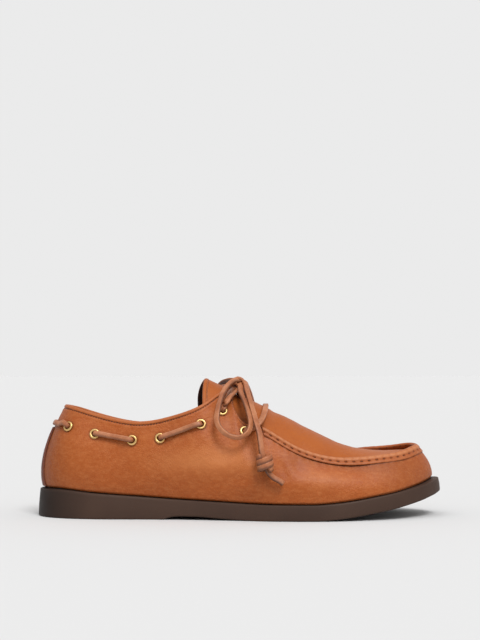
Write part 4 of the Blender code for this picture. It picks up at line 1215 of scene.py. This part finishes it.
def make_apron_tongue():
    rows = np.concatenate([np.linspace(4.93, 9.0, 150), np.linspace(9.0, 15.0, 190)[1:],
                           np.linspace(15.0, 15.7, 14)[1:]])
    q = np.sin(np.linspace(-1.0, 1.0, 97) * math.pi / 2 * 0.96) / math.sin(math.pi / 2 * 0.96)
    grid = sheet_points(rows, q, np.linspace(0.0, 1.0, 9))
    # the tongue stands a little twisted, its far half further back
    back = 1.0 - fade(rows, 4.93, 6.4)
    across = grid[..., 1] / 0.026
    high = fade(grid[..., 2], 0.070, 0.095)
    grid[..., 0] -= back[:, None] * TONGUE_TWIST * fade(across, -0.1, 1.0)
    grid[..., 0] += back[:, None] * 0.0006 * np.cos(across * 3.0) * high
    grid[..., 2] += (back ** 2)[:, None] * (0.0009 + 0.0004 * np.cos(across * 2.0)) * fade(grid[..., 2], 0.085, 0.098)
    normal = grid_normals(grid)
    x, y = grid[..., 0] / MM, grid[..., 1] / MM
    height = 0.18 * waves(grid, 0.032, 15, 18) + 0.05 * waves(grid, 0.011, 16, 18)
    # soft folds where the foot bends and beside the bar
    for at, wide, depth in APRON_FOLDS:
        height += depth * bell(x + 0.05 * np.abs(y), at, wide)
    columns = np.arange(grid.shape[1])
    edge = np.minimum(columns, columns[::-1])[None]
    height *= MM * fade(edge, 4, 16)
    tone = np.ones(height.shape)
    # painted shade: the apron's edges where they go under the seam, and the tongue near the flaps' front edges, under
    # the flaps and the loops
    apron_part = fade(rows, 8.9, 9.6)[:, None]
    tone -= apron_part * 0.35 * (1.0 - fade(edge, 6, 15))
    tone -= (1.0 - apron_part) * 0.62 * (1.0 - fade(edge, 12, 34)) * fade(x, 96.0, 104.0)
    # a stitched line inside the tongue's rear edge, a groove with painted shade in it
    from_edge = grid[..., 0] - grid[:1, :, 0]
    tone -= 0.42 * bell(from_edge, FLAP_STITCH, 0.0005)
    height -= 0.00030 * bell(from_edge, FLAP_STITCH, 0.0006)
    outer = grid + normal * height[..., None]
    inner = grid - normal * WALL
    # the rounded rear edge joins the outer face to the lining
    bend = np.linspace(0.0, math.pi, 7)[1:-1]
    way = unit(grid[0] - grid[1])
    rim = [grid[0] + (normal[0] * (math.cos(b) - 1.0) + way * math.sin(b)) * WALL / 2 for b in bend[::-1]]
    keep = list(range(0, len(rows), 4)) + [len(rows) - 1]
    full = np.concatenate([inner[keep][::-1], np.array(rim), outer])
    out = np.concatenate([-normal[keep][::-1], np.repeat(normal[:1], len(rim), 0), normal])
    tones = np.concatenate([np.ones((len(keep), len(columns))), np.full((len(rim), len(columns)), 0.85), tone])
    made = add_grid("apron_tongue_leather", full, ["apron", "dark_lining"], out, tones=tones)
    second_material(made, np.repeat(np.arange(len(full) - 1) < len(keep) + 1, len(columns) - 1))
    dress(made, "leather_tan", "apron_tongue")
    # thread on the rear edge
    line = even(outer[0][10:-10] + (FLAP_STITCH, 0.0, 0.0), TONGUE_STITCHES)
    tops = np.array([normal[6][int(k)] for k in np.linspace(10, len(columns) - 11, TONGUE_STITCHES)])
    flat = outer.reshape(-1, 3)
    near = np.array([flat[np.argmin(np.linalg.norm(flat - p, axis=1))] for p in line])
    ways = unit(np.gradient(line, axis=0))
    line = line + tops * np.sum((near - line) * tops, -1, keepdims=True)
    add_stitches("tongue_stitches", "tongue", line, ways, tops)


make_apron_tongue()


# Moc seam, collar binding and backstay
# The seam's section: drop below the edge and height over the wall, from the lip's underside over the roll to the
# apron's side, in millimetres
SEAM_SECTION = (
    (5.62, 0.00), (5.75, 0.42), (5.62, 0.88), (5.30, 1.18), (4.88, 1.32), (4.35, 1.35), (3.90, 1.32), (3.50, 1.24),
    (3.20, 1.13), (2.95, 1.02), (2.70, 0.98), (2.40, 1.07), (2.10, 1.30), (1.75, 1.56), (1.25, 1.80), (0.65, 1.88),
    (0.00, 1.82), (-0.70, 1.58), (-1.30, 1.10), (-1.75, 0.35), (-1.95, -0.45), (-1.85, -1.25), (-1.45, -1.85),
    (-0.80, -2.15), (0.30, -2.20), (1.60, -2.10),
)


# Where the pits, the roll and the lip are on the section, in millimetres
PIT_AT = 2.7
ROLL_AT = 0.4
LIP_AT = 4.7


def add_band(name, node, points, normals, ups, section, material, tones):
    """A closed band round the middle of its own section."""
    from_middle = (section - section.mean(0))[None, :, :, None]
    out = normals * from_middle[:, :, 1] - ups * from_middle[:, :, 0] * 0.25
    made = add_grid(name, points, [material], out, tones=tones, close_columns=True, caps=True)
    dress(made, "leather_edge", node)


def toe_share(rows):
    """How far a row lies in the toe's round, from 0 to 1."""
    return np.exp(-((rows - ROWS / 2) / 3.2) ** 4)[:, None]


def make_moc_seam():
    """The raised seam: a rolled upper edge, a row of pits with threads, and a lip over the wall."""
    rows = np.linspace(SEAM_START_ROW, ROWS - SEAM_START_ROW, SEAM_ROWS)
    at, high = np.array(SEAM_SECTION).T
    section = np.array(SEAM_SECTION) * MM
    index = np.arange(len(section))
    outer = (high > 0.0) & (at > -1.0)
    # the roll lies flatter round the toe
    offsets = section[:, 1] * (1.0 - TOE_FLATTEN * toe_share(rows) * (high > 0.0))
    phase = SEAM_PHASE(rows)[:, None]
    middle = bell(at, PIT_AT, 0.70) * outer
    rolled = bell(at, ROLL_AT, 1.7) * (high > -0.3)
    lip = bell(at, LIP_AT, 0.8) * outer
    groove = bell(at, PIT_AT, 0.42) * outer
    pit = np.exp(-(((phase + 0.5) % 1.0 - 0.5) / 0.19) ** 4)
    offsets = offsets - PIT_DEPTH * pit * middle - 0.00010 * groove
    offsets = offsets - 0.00022 * pit * rolled - 0.00012 * pit * lip + 0.00010 * (1.0 - pit) * middle
    points, normals, ups = on_wall(rows, section[:, 0], offsets)
    uneven = 0.00016 * waves(points, 0.018, 41, 16) + 0.00005 * waves(points, 0.005, 42, 16)
    points = points + normals * (uneven * (high > 0.1))[..., None]
    # painted highlights on the roll and the lip; painted shade in the pits, the groove, under the lip and on the
    # inner side
    tone = 1.0 - 0.75 * pit * bell(at, PIT_AT, 0.48) * outer + 0.50 * rolled * (1 - 0.3 * pit)
    tone = tone - 0.16 * groove + 0.08 * lip - 0.75 * (index < 2) - 0.35 * (index > 21)
    add_band("moc_seam_leather", "moc_seam", points, normals, ups, section, "edge", tone)
    # threads run over the roll to the apron
    stops = np.interp(np.arange(0.5, SEAM_COUNT, 1.0), SEAM_PHASE(rows), rows)
    points, ways, normals = wall_stops(stops, THREAD_DROP, [THREAD_LEVEL])
    add_stitches("apron_threads", "apron", points, ways, -normals)
    # a thread sunk in each pit
    stops = np.interp(np.arange(1.0, SEAM_COUNT, 1.0), SEAM_PHASE(rows), rows)
    lift = 0.00062 - 0.00050 * toe_share(stops)
    add_stitches("moc_threads", "moc", *wall_stops(stops, SEAM_STITCH_DROP, lift))


make_moc_seam()


# The binding's section, in the same way
BINDING_SECTION = (
    (2.02, 0.02), (1.98, 0.30), (1.84, 0.52), (1.58, 0.63), (1.22, 0.67), (0.84, 0.68), (0.45, 0.67), (0.10, 0.60),
    (-0.25, 0.42), (-0.52, 0.10), (-0.70, -0.40), (-0.78, -0.95), (-0.74, -1.50), (-0.52, -2.00), (0.00, -2.35),
    (1.20, -2.45), (3.00, -2.40), (4.80, -2.10),
)


def make_collar_binding():
    rows = np.linspace(-BINDING_END_ROW - 0.05, BINDING_END_ROW + 0.05, BINDING_ROWS)
    section = np.array(BINDING_SECTION) * MM
    index = np.arange(len(section))
    points, normals, ups = on_wall(rows, section[:, 0], section[:, 1])
    uneven = 0.00010 * waves(points, 0.016, 51, 16) + 0.00004 * waves(points, 0.004, 52, 16)
    points = points + normals * (uneven * (section[:, 1] > 0.0002))[..., None]
    # painted shade under the binding and on its inner side, and a painted highlight along the top of its roll
    tone = 1.0 - 0.15 * (index < 2) - 0.2 * (index > 13) + 0.20 * bell(section[:, 0], -0.0002, 0.0008)
    add_band("collar_leather", "collar_binding", points, normals, ups, section, "collar",
             np.broadcast_to(tone, points.shape[:2]))
    line = wall_line(-BINDING_END_ROW, BINDING_END_ROW, BINDING_HEIGHT + COLLAR_STITCH, COLLAR_SPACING)
    add_stitches("collar_stitches", "collar", *line)


make_collar_binding()


def make_backstay():
    """The strip down the heel, wider towards the sole, with a stitched line along each edge."""
    top = HEEL_EYELET_DROP + LACE_DIAMETER
    total = wall_runs(np.array([0.0]))[0, -1]
    drops = np.linspace(top, total - 2 * GAP, BACKSTAY_ROWS)
    width = BACKSTAY_TOP_WIDTH + (BACKSTAY_WIDTH - BACKSTAY_TOP_WIDTH) * (drops - top) / (drops[-1] - top)
    across = np.linspace(-0.5, 0.5, 61)
    rows = across[:, None] * width[None] * ROW_PER_METRE
    edge = (0.5 - np.abs(across))[:, None] * width[None]
    seam = bell(edge, BACKSTAY_STITCH, 0.0005)
    lift = 0.0002 + (BACKSTAY_PROUD - 0.0004) * np.clip(edge / 0.0007, 0.0, 1.0) ** 0.5 - 0.0003 * seam
    grids = on_wall(rows.reshape(-1), np.tile(drops, len(across))[:, None], lift.reshape(-1, 1))
    points, normals = (grid.reshape(rows.shape + (3,)) for grid in grids[:2])
    from_end = np.minimum(np.arange(len(drops)), np.arange(len(drops))[::-1])
    points = points - normals * (0.0010 * (1.0 - fade(from_end, 0, 2)))[None, :, None]
    points = points + normals * (0.0001 * waves(points, 0.012, 61, 14))[..., None]
    # painted shade in the stitched grooves and a painted highlight along the raised edges; the cut edges are darker
    # in colour
    tone = 1.0 - 0.45 * seam - 0.5 * (edge < 0.0003) + 0.25 * bell(edge, 0.0009, 0.0004)
    dress(add_grid("backstay_leather", points, ["backstay"], normals, tones=tone), "leather_edge", "backstay")
    places = np.arange(top + 0.002, total - 0.002, BACKSTAY_SPACING)
    lines = []
    for side in (-1, 1):
        at = side * (0.5 * np.interp(places, drops, width) - BACKSTAY_STITCH) * ROW_PER_METRE
        line, normals, ups = (a[:, 0] for a in on_wall(at, places[:, None], [BACKSTAY_PROUD - 0.0003]))
        lines.append((line, unit(np.gradient(line, axis=0)), normals))
    add_stitches("backstay_stitches", "backstay", *(np.concatenate(parts) for parts in zip(*lines)))


make_backstay()


# Eyelets
def make_eyelets():
    bore, outer = EYELET_BORE / 2, EYELET_OUTER / 2
    middle, half = 0.5 * (outer + bore), 0.5 * (outer - bore)
    profile = [(outer - 0.0004, 0.0000), (outer, 0.0003), (outer + 0.0001, 0.0006)]
    for a in np.linspace(0.05, math.pi, 14):
        profile.append((middle + half * math.cos(a) * 1.02, 0.0006 + 0.00070 * math.sin(a)))
    profile += [(bore + 0.00002, 0.0002), (bore, -0.0010), (bore, -WALL - 0.0004)]
    turn = np.linspace(0.0, 2 * math.pi, EYELET_TURNS, endpoint=False)

    def turned(radius, level):
        return np.stack([np.cos(turn) * radius, np.sin(turn) * radius, np.full(len(turn), level)], -1)

    base = np.stack([turned(*point) for point in profile], 1)
    core = turned(middle, 0.0003)[:, None]
    for row, drop, name in EYELET_PLACES:
        place = np.array(wall_matrix(row, drop))
        points = base @ place[:3, :3].T + place[:3, 3]
        made = add_grid(name.replace("eyelet", "ring"), points, ["brass"], (base - core) @ place[:3, :3].T,
                        close_rows=True)
        dress(made, "brass", name)


make_eyelets()


# Sole and insole
def level_ring(rows, inset, level, lift):
    """The shoe's outline drawn in by an inset, on the ground or the seat with a lift."""
    points = outline(rows, np.zeros(len(rows)) + inset)
    points[:, 2] = level(points[:, 0]) + lift
    return points


def strips(n, m, column, flip=False):
    """Faces from side to side that fill a closed ring of points."""
    half = n // 2
    faces = []
    for k in range(half):
        face = [k, k + 1, (n - k - 1) % n, (n - k) % n]
        if k == 0:
            face = face[:3]
        elif k == half - 1:
            face = [face[0], face[1], face[3]]
        face = [corner * m + column for corner in face]
        faces.append(face[::-1] if flip else face)
    return faces


def make_sole():
    rows = np.linspace(0.0, ROWS, SOLE_ROWS, endpoint=False)
    lips = ledge(rows)
    way = outward(rows)
    section = [level_ring(rows, inset, ground, 0.0) for inset in (0.022, 0.012, 0.005, 0.0022)]
    for a in np.linspace(0.0, math.pi / 2, 5):
        section.append(level_ring(rows, EDGE_ROUND * (1 - math.sin(a)), ground, EDGE_ROUND * (1 - math.cos(a))))
    side_low = level_ring(rows, 0.0, ground, EDGE_ROUND)
    side_high = level_ring(rows, SIDE_DRAFT, seat, -LEDGE_SLOPE * (lips - SIDE_DRAFT))
    for t in np.linspace(0.0, 1.0, 11)[1:-1]:
        section.append(side_low + (side_high - side_low) * t + way * (SOLE_BULGE * math.sin(t * math.pi)))
    high_inner = level_ring(rows, lips + 0.0006, seat, 0.0001)
    for t in (0.0, 0.06, 0.16, 0.35, 0.6, 0.8, 1.0):
        point = side_high + (high_inner - side_high) * t
        point[:, 2] += LIP_BULGE * math.sin(min(t, 0.35) / 0.35 * math.pi)
        section.append(point)
    section.append(level_ring(rows, lips + 0.006, seat, -0.0004))
    grid = np.stack(section, 1)
    n, m = grid.shape[:2]
    tone = np.ones((n, m))
    # painted shade on the underside, at the ledge's inner edge under the upper and towards the heel end; a painted
    # highlight along the ledge's top edge
    tone[:, :4] -= 0.25
    tone[:, 18:21] += 0.12
    tone[:, -2:] -= 0.6
    tone -= 0.75 * (1.0 - fade(grid[..., 0] / MM, -37.0, 8.0))
    out = np.repeat(way[:, None], m, 1)
    out[:, :5] = DOWN
    out[:, -3:] = (0.0, 0.0, 1.0)
    faces = facing(quads(n, m, True, False), grid.reshape(-1, 3), out) + strips(n, m, 0) + strips(n, m, m - 1, True)
    made = add_mesh("sole_rubber", grid, faces, ["rubber"], tone)
    dress(fix_normals(made), "rubber_brown", "sole")


make_sole()


# Inset and height of each line of the insole's rounded edge
INSOLE_LEVELS = ((0.0, 0.0), (0.0, 0.0019), (0.0006, 0.0025), (0.004, 0.0026), (0.010, 0.0025))


def make_insole():
    rows = np.linspace(0.0, ROWS, INSOLE_ROWS, endpoint=False)
    margin = ledge(rows) + WALL + INSOLE_GAP
    grid = np.stack([level_ring(rows, margin + inset, seat, SEAT_GAP + lift) for inset, lift in INSOLE_LEVELS], 1)
    n, m = grid.shape[:2]
    faces = quads(n, m, True, False).tolist() + strips(n, m, 0) + strips(n, m, m - 1)
    made = add_mesh("insole_leather", grid, faces, ["lining"], np.ones((n, m)))
    dress(fix_normals(made), "lining_tan", "insole")


make_insole()

# Floor and light
FLOOR = 0.83
LOW_FRONT_DIM = 0.45
TOP_FRONT_GAIN = 0.25
TOP_BACK_DIM = 0.35
HEEL_SIDE_DIM = 0.18
TOE_SIDE_DIM = 0.10
SUNS = (("key", (0.30, -0.70, 1.0), 1.82, 24.0), ("top", (-0.15, -0.15, 1.0), 0.45, 50.0))


def make_stage():
    mesh = bpy.data.meshes.new("floor")
    mesh.from_pydata([(-40, -40, 0), (40, -40, 0), (40, 40, 0), (-40, 40, 0)], [], [(0, 1, 2, 3)])
    floor = add_object("floor", mesh)
    f = Finish("floor_pale", Roughness=0.9, Specular_IOR_Level=0.0)
    pale = f.mix(f.span(f.noise(0.8, 2.0), 0.0, 1.0), (0.66, 0.66, 0.66, 1), (0.665, 0.665, 0.665, 1))
    f.set("Base Color", pale)
    mesh.materials.append(f.material)


def make_light():
    """A soft pale room: a level band as bright as the floor, a large soft light above and in front."""
    world = bpy.data.worlds.new("studio")
    bpy.context.scene.world = world
    world.use_nodes = True
    room = Nodes(world.node_tree)

    def ramp(value, low, high):
        return room.span(value, low, high, interpolation_type="SMOOTHSTEP")

    def times(a, b):
        return room.math("MULTIPLY", a, b)

    def minus(a, b):
        return room.math("SUBTRACT", a, b)

    place = room.node("ShaderNodeTexCoord").outputs["Generated"]
    sideways, ahead, up = room.node("ShaderNodeSeparateXYZ", {0: place}).outputs
    front = ramp(ahead, 0.1, -0.8)
    high = ramp(up, 0.35, 0.85)
    beside = minus(1.0, ramp(up, 0.2, 0.75))
    level = minus(FLOOR, times(times(front, minus(1.0, ramp(up, 0.1, 0.5))), LOW_FRONT_DIM))
    level = room.math("ADD", level, times(times(front, high), TOP_FRONT_GAIN))
    level = minus(level, times(times(minus(1.0, front), high), TOP_BACK_DIM))
    level = minus(level, times(beside, times(ramp(sideways, -0.4, -0.95), HEEL_SIDE_DIM)))
    level = minus(level, times(beside, times(ramp(sideways, 0.4, 0.95), TOE_SIDE_DIM)))
    back = room.tree.nodes["Background"].inputs
    room.give(back["Strength"], level)
    room.give(back["Color"], (1.0, 1.0, 1.0, 1.0))
    for name, way, strength, angle in SUNS:
        light = bpy.data.lights.new(name, "SUN")
        light.energy = strength
        light.angle = math.radians(angle)
        add_object(name, light).rotation_euler = Vector(way).to_track_quat("Z", "Y").to_euler()


make_stage()
make_light()
bpy.context.scene.view_settings.view_transform = "Standard"
